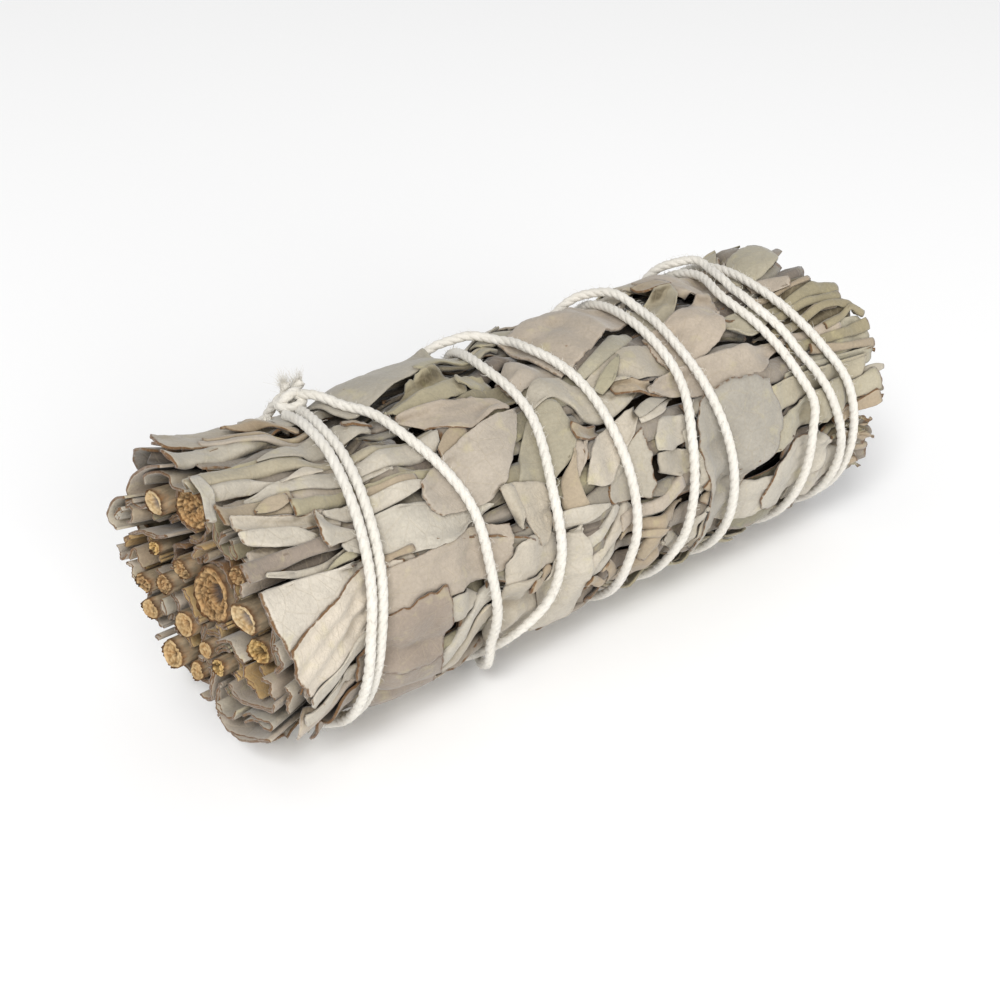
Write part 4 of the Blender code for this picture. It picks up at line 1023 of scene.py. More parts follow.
# Leaves that show their cut edge at the butt: the edge's line in (across, up), how far out it is cut,
# and half the gap between the two sides of a leaf folded double, or none for a single curled leaf
CutLeaf = namedtuple("CutLeaf", "line end half tone")
CUT_LEAVES = (
    CutLeaf(((4.2, 18.9), (8.5, 16.7), (12.5, 13.6), (14.1, 11), (13.5, 9.4), (11.6, 9.1), (9.9, 10.4)),
            -50.3, 0.0, "taupe"),
    CutLeaf(((11.2, 12.5), (10.3, 14.2), (7.2, 16.0), (4.8, 16.4), (3.9, 15.8), (0.5, 16.6)),
            -49.4, 0.0, "pale"),
    CutLeaf(((13.0, 10.8), (15.8, 9.2), (17.7, 6.6), (18.0, 4.8), (17.0, 4.0), (16.0, 4.4)),
            -51.6, 0.0, "pale"),
    CutLeaf(((14.8, 8.0), (16.0, 7.2), (16.6, 5.7)), -51.2, 0.25, "light"),
    CutLeaf(((12.2, 10.2), (13.8, 9.4), (14.4, 8.6)), -50.6, 0.25, "taupe"),
    CutLeaf(((17.0, 2.4), (12.4, 5.4), (8.6, 6.4), (5.6, 8.2)), -49.9, 0.25, "taupe"),
    CutLeaf(((16.2, 6.4), (14.2, 8.2), (12.6, 8.4), (13.1, 7.0), (15.2, 5.8)), -50.8, 0.0, "tan"),
    CutLeaf(((18.0, 1.0), (18.2, -0.6), (17.0, -0.9), (16.1, 0.2)), -50.9, 0.0, "taupe"),
    CutLeaf(((15.4, -0.2), (14.8, 1.5), (13.3, 1.4), (12.8, 0.0)), -50.5, 0.0, "tan"),
    CutLeaf(((15.6, 3.0), (16.8, 2.2), (17.2, 0.9)), -50.2, 0.25, "straw"),
    CutLeaf(((14.9, -3.6), (15.8, -2.2), (16.6, -1.4)), -50.4, 0.25, "taupe"),
    CutLeaf(((-8.8, -11.0), (-10.2, -9.9), (-12.8, -8.9), (-15.0, -8.4)), -49.6, 0.55, "pale"),
    CutLeaf(((-5.3, -8.0), (-6.8, -8.4), (-9.4, -8.0), (-12.5, -6.9), (-15.5, -5.6), (-16.6, -4)),
            -49.6, 0.3, "taupe"),
    CutLeaf(((-2.9, -11.9), (-4.2, -12.6), (-6.7, -12.0), (-7.8, -10.4)), -50.2, 0.25, "pale"),
    CutLeaf(((-3.0, -14.2), (-5.3, -14.9), (-8.5, -14.0), (-12.4, -11.8), (-15.2, -10.0)),
            -50.0, 0.3, "taupe"),
    CutLeaf(((-17.4, -1.5), (-17.6, -3.0), (-16.9, -5.6)), -48.2, 0.3, "pale"),
    CutLeaf(((-9.7, -2.7), (-10.0, -4.2), (-11.6, -4.7), (-13.0, -5.2)), -49.4, 0.2, "straw"),
    CutLeaf(((-13.6, -2.1), (-15.1, -2.5), (-15.5, -4.0)), -49.2, 0.25, "taupe"),
    CutLeaf(((-15.4, 3.2), (-16.8, 3.3), (-17.2, 1.9), (-16.0, 0.0)), -48.6, 0.3, "light"),
    CutLeaf(((-4.4, -1.9), (-6.8, -0.6), (-9.0, -0.9), (-9.8, -1.6)), -49.8, 0.2, "light"),
)


class FoldField:
    """Where leaves can be folded at an end of the bundle, and the way in which the folds run there."""

    def __init__(self, butt, draw):
        self.taken = [np.array([[99.0, 99.0]])]
        self.posts = []
        if butt:
            self.taken += [fold_loop(smooth_line(leaf.line, 30), leaf.half) for leaf in CUT_LEAVES]
            self.posts = [(stem.across, stem.up, stem.diameter / 2) for stem in STEMS]
        self.phases = [draw.uniform(0, math.tau) for _ in range(6)]
        self.apart = 1.16 if butt else 1.32

    def heading(self, point):
        """The direction in which folds run: round the bundle, round stems, and waved."""
        phases = self.phases
        angle = math.atan2(point[1], point[0]) + math.pi / 2
        angle += 0.9 * math.sin(0.55 * point[0] + phases[0]) + 0.9 * math.sin(0.6 * point[1] + phases[1])
        angle += 0.5 * math.sin(0.9 * (point[0] + point[1]) + phases[2])
        vector = np.array([math.cos(angle), math.sin(angle)])
        for across, up, radius in self.posts:
            offset = np.array([point[0] - across, point[1] - up])
            distance = np.linalg.norm(offset)
            pull = math.exp(-max(0.0, distance - radius - 0.5) / 0.9)
            tangent = np.array([-offset[1], offset[0]]) / max(distance, 1e-6)
            if tangent @ vector < 0:
                tangent = -tangent
            vector = vector * (1 - pull) + tangent * pull
        return vector / max(np.linalg.norm(vector), 1e-6)

    def is_clear(self, point, spare):
        """Whether a point is within reach and clear of the stems and of the folds made so far."""
        if np.hypot(*point) > FOLD_REACH:
            return False
        for across, up, radius in self.posts:
            if math.hypot(point[0] - across, point[1] - up) < radius + 0.45:
                return False
        return min(np.hypot(*(cloud - point).T).min() for cloud in self.taken) > spare

    def branch(self, point, sign, limit):
        """The points of a fold from one point on, until it is long enough or meets something."""
        points = []
        ahead = self.heading(point) * sign
        while len(points) * FOLD_STEP < limit:
            way = self.heading(point)
            if way @ ahead < 0:
                way = -way
            ahead = way
            point = point + way * FOLD_STEP
            if not self.is_clear(point, self.apart * 0.86):
                break
            points.append(point)
        return points


def fold_lines(butt, draw):
    """Lines across an end of the bundle along which leaves are folded, none too close to another."""
    field = FoldField(butt, draw)
    lines = []
    for _ in range(FOLD_TRIES):
        radius = FOLD_REACH * math.sqrt(draw.random())
        turn = draw.uniform(0, math.tau)
        seed = np.array([radius * math.cos(turn), radius * math.sin(turn)])
        if not field.is_clear(seed, field.apart):
            continue
        limit = draw.uniform(2.5, 8.0)
        line = np.array(field.branch(seed, -1, limit)[::-1] + [seed] + field.branch(seed, 1, limit))
        if len(line) >= 4:
            field.taken.append(line)
            lines.append(line)
    return lines


def fold_loop(line, half):
    """The line of a leaf's cut edge: there and back round a fold, or the line itself where it has none."""
    if half == 0:
        return line
    way = np.gradient(line, axis=0)
    way /= np.linalg.norm(way, axis=1)[:, None] + 1e-9
    side = np.stack([-way[:, 1], way[:, 0]], axis=1) * half
    bow = np.linspace(-1, 1, 5)[:, None]
    tip = line[-1] + side[-1] * -bow + way[-1] * np.sqrt(np.maximum(0, 1 - bow**2)) * 0.3
    return np.vstack([line + side, tip[1:-1], (line - side)[::-1]])


def add_fold(shape, loop, ends, draw, tone):
    """A leaf that lies along the bundle and shows its cut edge: a line across the end, run along it."""
    columns = len(loop) - 1
    is_outer = np.hypot(loop[:, 0], loop[:, 1]).max() >= 16.8
    tucked = 0.16 if is_outer else 0.03
    shares = (0.0, 0.45, 0.85, 0.97, 1.0)
    rows = len(shares) - 1
    verts = grid_into(shape, columns, rows)
    tint, place, rim = layers_of(shape)
    base = colour_of(tone, draw, 0.12)
    seed = draw.uniform(0, 900)
    phase = draw.uniform(0, math.tau)
    for number, vert in enumerate(verts):
        row, column = divmod(number, columns + 1)
        share = shares[row]
        across, up = loop[column]
        wobble = 0.22 * math.sin(0.35 * column + phase) + 0.06 * math.sin(1.4 * column + 2 * phase)
        along = ends[0] + (ends[1] + wobble * share - ends[0]) * share
        narrow = 1.0 - tucked * (1 - share)
        vert.co = Vector((along, across * narrow, AXIS_HEIGHT + up * narrow)) * MM
        # Painted shade: the fold darkens and grows warmer the further in it lies from its cut edge
        shade = 0.1 + 0.9 * share**2.2
        within = 1.0 - share
        vert[tint] = shaded(base, shade, 0.25 * within, 0.5 * within)
        vert[place] = (share * 8.0, column * 0.3 + seed, seed)
        vert[rim] = 1.0 if row == rows else 0.0


# The tones of folded leaves: beside the woody stems, elsewhere at the cut end, and at the leaf tips
WOODY_TONES = ("rust", "straw", "straw", "straw", "tan", "green")
PLAIN_TONES = ("pale", "taupe", "taupe", "straw", "tan", "khaki")
# The tip folds' dark tone paints shade in the gaps between them
TIP_TONES = ("pale", "khaki", "painted_shade", "khaki", "green", "painted_shade")


def faces_beside(line):
    """How far out folds along a line may be cut, so that they leave the faces of the stems beside it open."""
    beside = []
    for stem in STEMS:
        apart = np.hypot(line[:, 0] - stem.across, line[:, 1] - stem.up)
        nearest = line[np.argmin(apart)]
        is_before = 0.7 * (stem.across - nearest[0]) + 0.5 * (nearest[1] - stem.up) > 0
        if apart.min() < stem.diameter / 2 + 1.7:
            beside.append(stem.along + (0.8 if is_before else 0.1))
    return beside


def add_end_folds(shapes):
    """Packs both ends of the bundle with folded leaves between and round the stems."""
    draw = random.Random(5)
    for leaf in CUT_LEAVES:
        line = smooth_line(leaf.line, 26)
        angle = math.degrees(math.atan2(line[13][1], -line[13][0]))
        loop = fold_loop(line, leaf.half)
        add_fold(shapes[sprig_of(angle)], loop, (CUT_LEAF_ROOT, leaf.end), draw, leaf.tone)
    for butt in (True, False):
        for line in fold_lines(butt, draw):
            middle = line[len(line) // 2]
            distance = math.hypot(*middle)
            angle = math.degrees(math.atan2(middle[1], -middle[0]))
            sprig = HEART if distance < HEART_REACH else sprig_of(angle)
            if butt:
                cut = -FOLD_END + draw.uniform(-1.2, 1.2) - 0.03 * distance
                ends = (BUTT_FOLD_ROOT, max([cut] + faces_beside(line)))
            else:
                ends = (TIP_FOLD_ROOT, FOLD_END + draw.uniform(-3.2, 2.2) - 0.06 * distance)
            is_woody = butt and middle[1] > -4.5 + 0.4 * middle[0] and distance < 12.5
            tone = draw.choice(WOODY_TONES if is_woody else PLAIN_TONES if butt else TIP_TONES)
            add_fold(shapes[sprig], fold_loop(line, draw.uniform(0.26, 0.44)), ends, draw, tone)


def finish_sprig(number, shape, material, thickness):
    """Makes one sprig's object, and gives its leaves their thickness."""
    name = f"white_sage_sprig_{number + 1:02d}"
    item = mesh_object(name, shape, material)
    solidify = item.modifiers.new("leaf thickness", "SOLIDIFY")
    solidify.thickness = thickness
    solidify.offset = -1.0
    solidify.use_rim = True
    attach(item, "root")
    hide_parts(f"sage_sprig_{number + 1:02d}")


def linked_object(name, data):
    """A new object in the scene, at the origin."""
    item = bpy.data.objects.new(name, data)
    bpy.context.scene.collection.objects.link(item)
    return item


def mesh_object(name, shape, material):
    """A smooth-shaded object at the origin from a bmesh."""
    mesh = bpy.data.meshes.new(name)
    shape.to_mesh(mesh)
    shape.free()
    mesh.materials.append(material)
    mesh.shade_smooth()
    return linked_object(name, mesh)


def build_sprigs(settings):
    """Lays every leaf over the bundle, packs the ends, and makes one object of each sprig."""
    heap = Heap()
    sheets = []
    for first, leaves, detail, shade in (
        (0, under_leaves(), UNDER_DETAIL, UNDER_PAINTED_SHADE),
        (2000, hidden_leaves(), HIDDEN_DETAIL, 1.0),
        (3000, crest_leaves(), HIDDEN_DETAIL, 1.0),
        (4000, tip_stalks(), STALK_DETAIL, 1.0),
        (5000, FRONT_LEAVES, SEEN_DETAIL, 1.0),
    ):
        sheets += [Sheet(leaf, number, detail, shade) for number, leaf in enumerate(leaves, first)]
    for sheet in sheets:
        sheet.settle(heap, 0.8 if sheet.width < 4 else 0.6)
    mean = heap.spread(heap.height, 3.5)
    spread = np.sqrt(heap.spread((heap.height - mean) ** 2, 3.5))
    angles = np.arange(HEAP_ROWS)[None, :] * 360.0 / HEAP_ROWS
    upper = mean + 0.55 * spread - 0.6 * crest_share(angles)
    fields = (upper, *ceiling_fields())
    shapes = [new_sprig() for _ in range(HEART + 1)]
    skin = Heap()
    for sheet in sheets:
        add_sheet(shapes[sprig_of(sheet.root_angle)], sheet, heap, skin, fields)
    add_end_folds(shapes)
    for number in range(HEART):
        add_core(shapes[number], SPRIG_EDGES[number], SPRIG_EDGES[number + 1])
    add_heart(shapes[HEART])
    material = leaf_material(settings)
    for number, shape in enumerate(shapes):
        finish_sprig(number, shape, material, settings.thickness)


# A cut face's colours: the wood, its light fibres, and the pith's hole, dark with painted shade
FACES = {
    "fibrous": ((0.26, 0.135, 0.045), (0.54, 0.35, 0.165), (0.10, 0.075, 0.06)),
    "split": ((0.22, 0.115, 0.045), (0.50, 0.34, 0.17), (0.06, 0.03, 0.015)),
    "tan": ((0.32, 0.19, 0.075), (0.56, 0.40, 0.21), (0.12, 0.07, 0.035)),
    "ochre": ((0.36, 0.20, 0.05), (0.66, 0.46, 0.20), (0.05, 0.025, 0.01)),
    "pith": ((0.42, 0.28, 0.13), (0.60, 0.46, 0.27), (0.23, 0.20, 0.18)),
}
BARK = (0.37, 0.29, 0.19)
BARK_EDGE = (0.12, 0.06, 0.025)


def stem_outline(angle, phases):
    """A stem's reach at an angle round it, as a share of its radius."""
    coarse = 1.0 + 0.07 * math.sin(2 * angle + phases[0]) + 0.045 * math.sin(3 * angle + phases[4])
    fine = 0.03 * math.sin(5 * angle + phases[1]) + 0.02 * math.sin(11 * angle + phases[2])
    return coarse + fine


def shaft_place(row, angle, phases):
    """A place on the barked shaft: its share of the radius, how far in from the cut it is, and its colour."""
    if row == 0:
        return 0.0, STEM_DEPTH, BARK
    share = 1.0 + 0.02 * math.sin(9 * angle + phases[5])
    if row == SHAFT_ROWS:
        ragged = 0.16 * math.sin(3 * angle + phases[7]) + 0.10 * math.sin(17 * angle + phases[3])
        return share, ragged, BARK_EDGE
    inwards = STEM_DEPTH * (1 - row / SHAFT_ROWS) ** 1.6
    # Uneven bark tone, darkened by painted shade the deeper the shaft lies in the bundle
    bark_tone_and_shade = (0.85 + 0.2 * math.sin(4 * angle + phases[6] + inwards)) * math.exp(-inwards / 5.0)
    return share, inwards, tuple(value * bark_tone_and_shade for value in BARK)


def build_stem(number, stem, material):
    """A woody stem: barked shaft, ragged bark edge, and a cut face of torn fibres round its pith."""
    draw = random.Random(100 + number)
    around, face_rows = (80, 20) if stem.diameter > THICK_STEM else (48, 12)
    shape = bmesh.new()
    tint = shape.verts.layers.float_color.new("tint")
    verts = grid_into(shape, around, SHAFT_ROWS + face_rows + 2)
    phases = [draw.uniform(0, math.tau) for _ in range(8)]
    tilt = 0.10 + 0.12 * math.sin(stem.up)
    lean_front = 0.24 if stem.diameter < 6 else 0.10
    hole_place = (draw.uniform(-0.3, -0.05), draw.uniform(0.0, 0.2))
    radius = stem.diameter / 2
    for index, vert in enumerate(verts):
        row, column = divmod(index, around + 1)
        angle = math.tau * (column % around) / around
        outline = stem_outline(angle, phases)
        if row <= SHAFT_ROWS:
            share, inwards, colour = shaft_place(row, angle, phases)
        else:
            ring = (row - SHAFT_ROWS - 1) / face_rows
            share = (1.0 - ring) * 0.965
            x = share * math.cos(angle) - hole_place[0]
            y = share * math.sin(angle) - hole_place[1]
            inwards, colour = cut_face(stem, number, x, y, ring)
        across = stem.across + radius * share * outline * math.cos(angle)
        up = stem.up + radius * share * outline * math.sin(angle)
        lean = 1.0 - (1.0 - STEM_TAPER) * inwards / STEM_DEPTH
        slant = tilt * math.sin(angle) - lean_front * math.cos(angle)
        along = stem.along + inwards + radius * share * slant
        vert.co = Vector((along, across * lean, AXIS_HEIGHT + up * lean)) * MM
        vert[tint] = (*colour, 1.0)
    bmesh.ops.remove_doubles(shape, verts=shape.verts, dist=0.000002)
    bmesh.ops.recalc_face_normals(shape, faces=shape.faces)
    item = mesh_object(f"woody_stem_{number:02d}", shape, material)
    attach(item, "root")
    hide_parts(f"sage_stem_{number:02d}")


def cut_face(stem, number, x, y, ring):
    """How deep a place on a cut face lies and its colour: clumps of fibres, with painted shade in cracks,
    pits, a groove and the pith's hole.
    """
    wood, light, hole = FACES[stem.face]
    rough = {"split": 0.7, "ochre": 0.6, "fibrous": 0.55}.get(stem.face, 0.2)
    size = stem.diameter / 3.0
    middle = math.hypot(x, y)
    turn = math.atan2(y, x)
    clump = noise.noise(Vector((x * 4.4 * size, y * 4.4 * size, number * 7.3)))
    fibre = noise.noise(Vector((turn * 5.0, middle * 3.0 * size, number * 3.1)))
    seam = noise.noise(Vector((x * 1.9 * size + 9.0, y * 1.9 * size, number * 5.7)))
    crack = max(0.0, 1.0 - abs(seam) * 8.0) if rough > 0.4 else 0.0
    woody_ring = math.exp(-(((ring - 0.14) / 0.08) ** 2))
    groove = math.exp(-(((ring - 0.3) / 0.05) ** 2)) * min(1.0, rough * 2.0)
    into = max(0.0, stem.hollow + 0.08 * fibre - middle) / max(stem.hollow, 0.01)
    inwards = 0.12 - rough * (0.34 * clump + 0.26 * fibre) * (1 - woody_ring) + 0.5 * crack * rough
    inwards += min(1.0, into * 4.0) * 1.1 - 0.22 * woody_ring + 0.2 * groove
    mix = min(1.0, max(0.0, 0.38 + 0.8 * clump + 0.6 * fibre + 0.55 * woody_ring))
    colour = [a + (b - a) * mix for a, b in zip(wood, light)]
    # Painted shade: cracks, deep pits and the groove are darkened
    pits = min(1.0, max(0.0, -2.6 * clump - 0.15)) * min(1.0, rough * 1.6)
    shade = (1.0 - 0.75 * crack) * (1.0 - 0.6 * pits) * (1.0 - 0.5 * groove)
    colour = [value * shade for value in colour]
    if ring < 0.03:
        colour = BARK_EDGE
    # The pith's hollow takes the hole colour, dark as painted shade
    return inwards, tuple(a + (b - a) * min(1.0, into * 6.0) for a, b in zip(colour, hole))


def twine_lifts(points, spacing, diameter):
    """How far each point of the twine rises to clear a turn that lies under it."""
    apart = diameter + TWINE_CLEARANCE
    needed = np.zeros(len(points))
    skip = round(CROSSING_SKIP / spacing)
    for number in range(len(points) - skip):
        nearest = np.linalg.norm(points[number + skip :] - points[number], axis=1).min()
        needed[number] = math.sqrt(max(0.0, apart**2 - min(nearest, apart) ** 2))
    lifts = np.zeros(len(points))
    hump = round(HUMP_REACH / spacing)
    for number in np.flatnonzero(needed):
        for offset in range(-hump, hump + 1):
            if 0 <= number + offset < len(points):
                slope = max(0.0, abs(offset) * spacing - HUMP_TOP) / HUMP_FALL
                share = 0.5 + 0.5 * math.cos(math.pi * min(1.0, slope))
                lifts[number + offset] = max(lifts[number + offset], needed[number] * share)
    return lifts


def twine_centreline(spacing, diameter):
    """The twine's middle line in millimetres, and the way out from the bundle at each point."""
    places = twine_places(spacing)
    seat = envelope(places[:, 0], places[:, 1]) + TWINE_GAP + diameter / 2 - TWINE_PRESSED
    lifts = twine_lifts(on_bundle(places[:, 0], places[:, 1], seat), spacing, diameter)
    points = on_bundle(places[:, 0], places[:, 1], seat + lifts)
    turn = np.radians(places[:, 1])
    outward = np.stack([0 * turn, -np.cos(turn), np.sin(turn)], axis=1)
    return points, outward


def twisted(points, outward, settings, phase):
    """The three plies that wind round a middle line."""
    way = np.gradient(points, axis=0)
    way /= np.linalg.norm(way, axis=1)[:, None]
    side = np.cross(way, outward)
    side /= np.linalg.norm(side, axis=1)[:, None]
    outward = np.cross(side, way)
    travelled = np.concatenate([[0.0], np.cumsum(np.linalg.norm(np.diff(points, axis=0), axis=1))])
    plies = []
    for ply in range(3):
        angle = math.tau * (travelled / settings.pitch_mm + ply / 3) + phase
        offset = outward * np.cos(angle)[:, None] + side * np.sin(angle)[:, None]
        plies.append(points + offset * PLY_OFFSET * settings.diameter_mm / TWINE_DIAMETER)
    return plies


def cord_object(name, lines, thickness, resolution, material, tapers=False):
    """An object of round strands along lines of points, in millimetres."""
    curve = bpy.data.curves.new(name, "CURVE")
    curve.dimensions = "3D"
    curve.bevel_depth = thickness / 2 * MM
    curve.bevel_resolution = resolution
    curve.use_fill_caps = True
    for line in lines:
        spline = curve.splines.new("POLY")
        spline.points.add(len(line) - 1)
        coordinates = np.ones((len(line), 4))
        coordinates[:, :3] = np.asarray(line) * MM
        spline.points.foreach_set("co", coordinates.ravel())
        if tapers:
            spline.points.foreach_set("radius", np.linspace(1.0, 0.35, len(line)))
    guide = linked_object(name, curve)
    graph = bpy.context.evaluated_depsgraph_get()
    mesh = bpy.data.meshes.new_from_object(guide.evaluated_get(graph))
    bpy.data.objects.remove(guide, do_unlink=True)
    mesh.name = name
    mesh.shade_smooth()
    mesh.materials.append(material)
    return linked_object(name, mesh)


def knot_lines():
    """The middle lines of the knot's two loops and two tails, and the ways out and along from it."""
    turn = math.radians(KNOT_PLACE[1])
    outward = np.array([0.0, -math.cos(turn), math.sin(turn)])
    sideways = np.array([1.0, 0.0, 0.0])
    around = np.cross(outward, sideways)
    centre = on_bundle(KNOT_PLACE[0], KNOT_PLACE[1], LEAF_REACH + TWINE_GAP + 1.7)
    lines = []
    for tilt, spread in ((0.5, 1.0), (-0.7, 1.15)):
        axis = outward * math.cos(tilt) + around * math.sin(tilt)
        second = np.cross(axis, sideways)
        angle = np.linspace(0.0, 6.3, 26)[:, None]
        ring = (sideways * np.cos(angle) + second * np.sin(angle)) * KNOT_LOOP * spread
        lines.append(centre + ring + axis * (angle - 3.1) * 0.28)
    for lean, reach in ((0.15, 3.0), (1.0, 2.6)):
        share = np.linspace(0.0, 1.0, 12)[:, None]
        bend = sideways * lean * share + around * 0.35 * np.sin(2.6 * share)
        lines.append(centre + (outward * 0.75 * share + bend) * reach)
    return lines, outward, sideways


def build_twine(settings, material):
    """The whole winding with its knot, as plies twisted round one another."""
    points, outward = twine_centreline(TWINE_SPACING, settings.diameter_mm)
    strands = twisted(points, outward, settings, 0.0)
    lines, out, sideways = knot_lines()
    for number, line in enumerate(lines):
        way = np.repeat(out[None, :], len(line), 0) + 0.3 * sideways
        strands += twisted(line, way, settings, 1.7 * number)
    thickness = PLY_SHARE * settings.diameter_mm / TWINE_DIAMETER
    item = cord_object("cotton_twine_plies", strands, thickness, 2, material)
    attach(item, "root")
    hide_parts("cotton_twine")


def build_fuzz(settings, material):
    """Short loose fibres along the twine, and the frayed tuft on its knot."""
    draw = random.Random(77)
    points, outward = twine_centreline(TWINE_SPACING, settings.diameter_mm)
    hairs = []
    for _ in range(settings.fuzz_count):
        at = draw.randrange(2, len(points) - 2)
        way = points[at + 1] - points[at - 1]
        way /= np.linalg.norm(way)
        angle = draw.uniform(-1.9, 1.9)
        side = np.cross(way, outward[at])
        away = outward[at] * math.cos(angle) + side * math.sin(angle)
        reach = draw.uniform(0.3, 1.0) * settings.fuzz_mm
        start = points[at] + away * FIBRE_START
        lean = way * draw.uniform(-0.9, 0.9)
        middle = start + (away * 0.5 + lean * 0.6) * reach
        hair = np.array([start, middle, middle + (away * 0.3 + lean) * reach * 0.8])
        hair[:, 2] = np.maximum(hair[:, 2], FIBRE_THICKNESS)
        hairs.append(hair)
    lines, out, _ = knot_lines()
    for _ in range(TUFT_COUNT):
        line = lines[draw.choice((2, 3))]
        at = line[draw.randrange(3, len(line))]
        away = np.array([draw.gauss(0, 1) for _ in range(3)])
        away = away / np.linalg.norm(away) * 0.45 + out * 0.8
        curl = np.array([draw.gauss(0, 0.25) for _ in range(3)])
        reach = draw.uniform(0.6, 2.0)
        hair = [at + away * reach * share + curl * reach * share**2 for share in (0.0, 0.35, 0.7, 1.0)]
        hairs.append(hair)
    item = cord_object("cotton_twine_fuzz", hairs, FIBRE_THICKNESS, 0, material, tapers=True)
    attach(item, "root")


# Colours within the materials. A noise's scale is how often it repeats in a metre.
LEAF_STAIN = (0.52, 0.46, 0.24, 1.0)
LEAF_SPECK = (0.17, 0.08, 0.035, 1.0)
LEAF_VEIN = (0.36, 0.30, 0.20, 1.0)
COTTON_PATCH = (0.65, 0.61, 0.53, 1.0)
COTTON_FIBRE = (0.52, 0.48, 0.41, 1.0)


def new_material(name, roughness, sheen=0.0):
    """A matt material and its shader, with a soft sheen where it is felted or spun."""
    material = bpy.data.materials.new(name)
    material.use_nodes = True
    shader = material.node_tree.nodes["Principled BSDF"]
    values = {"Roughness": roughness, "Metallic": 0.0, "Specular IOR Level": 0.25}
    if sheen:
        values.update({"Sheen Weight": sheen, "Sheen Roughness": 0.5})
    for key, value in values.items():
        shader.inputs[key].default_value = value
    return material, shader


def add_node(tree, kind, inputs=(), **settings):
    """Adds a node with its settings, and gives each listed input its value or its link."""
    node = tree.nodes.new(kind)
    for key, value in settings.items():
        setattr(node, key, value)
    for key, value in dict(inputs).items():
        if isinstance(value, bpy.types.NodeSocket):
            tree.links.new(value, node.inputs[key])
        else:
            node.inputs[key].default_value = value
    return node


def math_node(tree, operation, first, second):
    """The result of a sum on two values, each a socket or a number."""
    return add_node(tree, "ShaderNodeMath", {0: first, 1: second}, operation=operation).outputs[0]


def ranged(tree, value, low, high, to_low=0.0, to_high=1.0):
    """A value stretched from one range to another, kept inside it."""
    inputs = {"Value": value, "From Min": low, "From Max": high, "To Min": to_low, "To Max": to_high}
    return add_node(tree, "ShaderNodeMapRange", inputs, clamp=True).outputs["Result"]


def mixed(tree, factor, first, second):
    """A mix of two colours, each a socket or a constant."""
    inputs = {0: factor, 6: first, 7: second}
    return add_node(tree, "ShaderNodeMix", inputs, data_type="RGBA").outputs[2]


def scaled(tree, colour, share):
    """A colour made lighter or darker by a value."""
    return add_node(tree, "ShaderNodeVectorMath", {0: colour, "Scale": share}, operation="SCALE").outputs[0]


def noise_node(tree, vector, scale, detail=3.0, roughness=0.5):
    """Soft noise from 0 to 1 at places on a piece."""
    inputs = {"Vector": vector, "Scale": scale, "Detail": detail, "Roughness": roughness}
    return add_node(tree, "ShaderNodeTexNoise", inputs).outputs["Fac"]


def add_bump(tree, shader, height, strength, distance):
    """Lets a height raise the surface that the light sees."""
    bump = add_node(tree, "ShaderNodeBump", {"Strength": strength, "Distance": distance, "Height": height})
    tree.links.new(bump.outputs["Normal"], shader.inputs["Normal"])


def new_group(name, inputs, output, kind):
    """An empty node group with its inputs and its one output."""
    group = bpy.data.node_groups.new(name, "ShaderNodeTree")
    for label, socket_kind in inputs.items():
        group.interface.new_socket(name=label, in_out="INPUT", socket_type=socket_kind)
    group.interface.new_socket(name=output, in_out="OUTPUT", socket_type=kind)
    return group, add_node(group, "NodeGroupInput").outputs, add_node(group, "NodeGroupOutput").inputs


def dry_mottle_group():
    """A node group: a dry plant colour with uneven shade, yellow stains, specks and brown edges."""
    inputs = {
        "Tint": "NodeSocketColor", "Vector": "NodeSocketVector", "Rim": "NodeSocketFloat",
        "Edge Brown": "NodeSocketColor",
    }
    group, inside, outside = new_group("Dry mottle", inputs, "Color", "NodeSocketColor")
    vector = inside["Vector"]
    shade = ranged(group, noise_node(group, vector, 190.0, 4.0, 0.6), 0.3, 0.7, 0.88, 1.08)
    stain = ranged(group, noise_node(group, vector, 330.0, 3.0, 0.6), 0.58, 0.75, 0.0, 0.35)
    fine = ranged(group, noise_node(group, vector, 2600.0, 2.0, 0.6), 0.25, 0.75, 0.90, 1.08)
    uneven = scaled(group, inside["Tint"], math_node(group, "MULTIPLY", shade, fine))
    yellow = mixed(group, stain, uneven, LEAF_STAIN)
    specks = add_node(group, "ShaderNodeTexVoronoi", {"Scale": 420.0, "Vector": vector})
    near = ranged(group, specks.outputs["Distance"], 0.05, 0.09, 1.0, 0.0)
    rare = ranged(group, noise_node(group, vector, 260.0, 1.0), 0.60, 0.66, 0.0, 0.75)
    dotted = mixed(group, math_node(group, "MULTIPLY", near, rare), yellow, LEAF_SPECK)
    ragged = ranged(group, noise_node(group, vector, 1500.0, 3.0), 0.3, 0.6, 0.7, 1.0)
    edge = math_node(group, "MULTIPLY", inside["Rim"], ragged)
    brown = mixed(group, ranged(group, edge, 0.6, 0.8), dotted, inside["Edge Brown"])
    group.links.new(brown, outside["Color"])
    return group


def net_vein_group():
    """A node group: the raised net of a sage leaf, large meshes and small, as a height from 0 to 1."""
    group, inside, outside = new_group("Net veins", {"Place": "NodeSocketVector"}, "Veins", "NodeSocketFloat")
    nets = []
    for scale, width in ((0.42, 0.05), (1.25, 0.09)):
        flat = {"voronoi_dimensions": "2D", "feature": "DISTANCE_TO_EDGE"}
        cells = add_node(group, "ShaderNodeTexVoronoi", **flat)
        cells.inputs["Scale"].default_value = scale
        group.links.new(inside["Place"], cells.inputs["Vector"])
        nets.append(ranged(group, cells.outputs["Distance"], 0.0, width, 1.0, 0.0))
    total = math_node(group, "MAXIMUM", nets[0], math_node(group, "MULTIPLY", nets[1], 0.55))
    group.links.new(total, outside["Veins"])
    return group


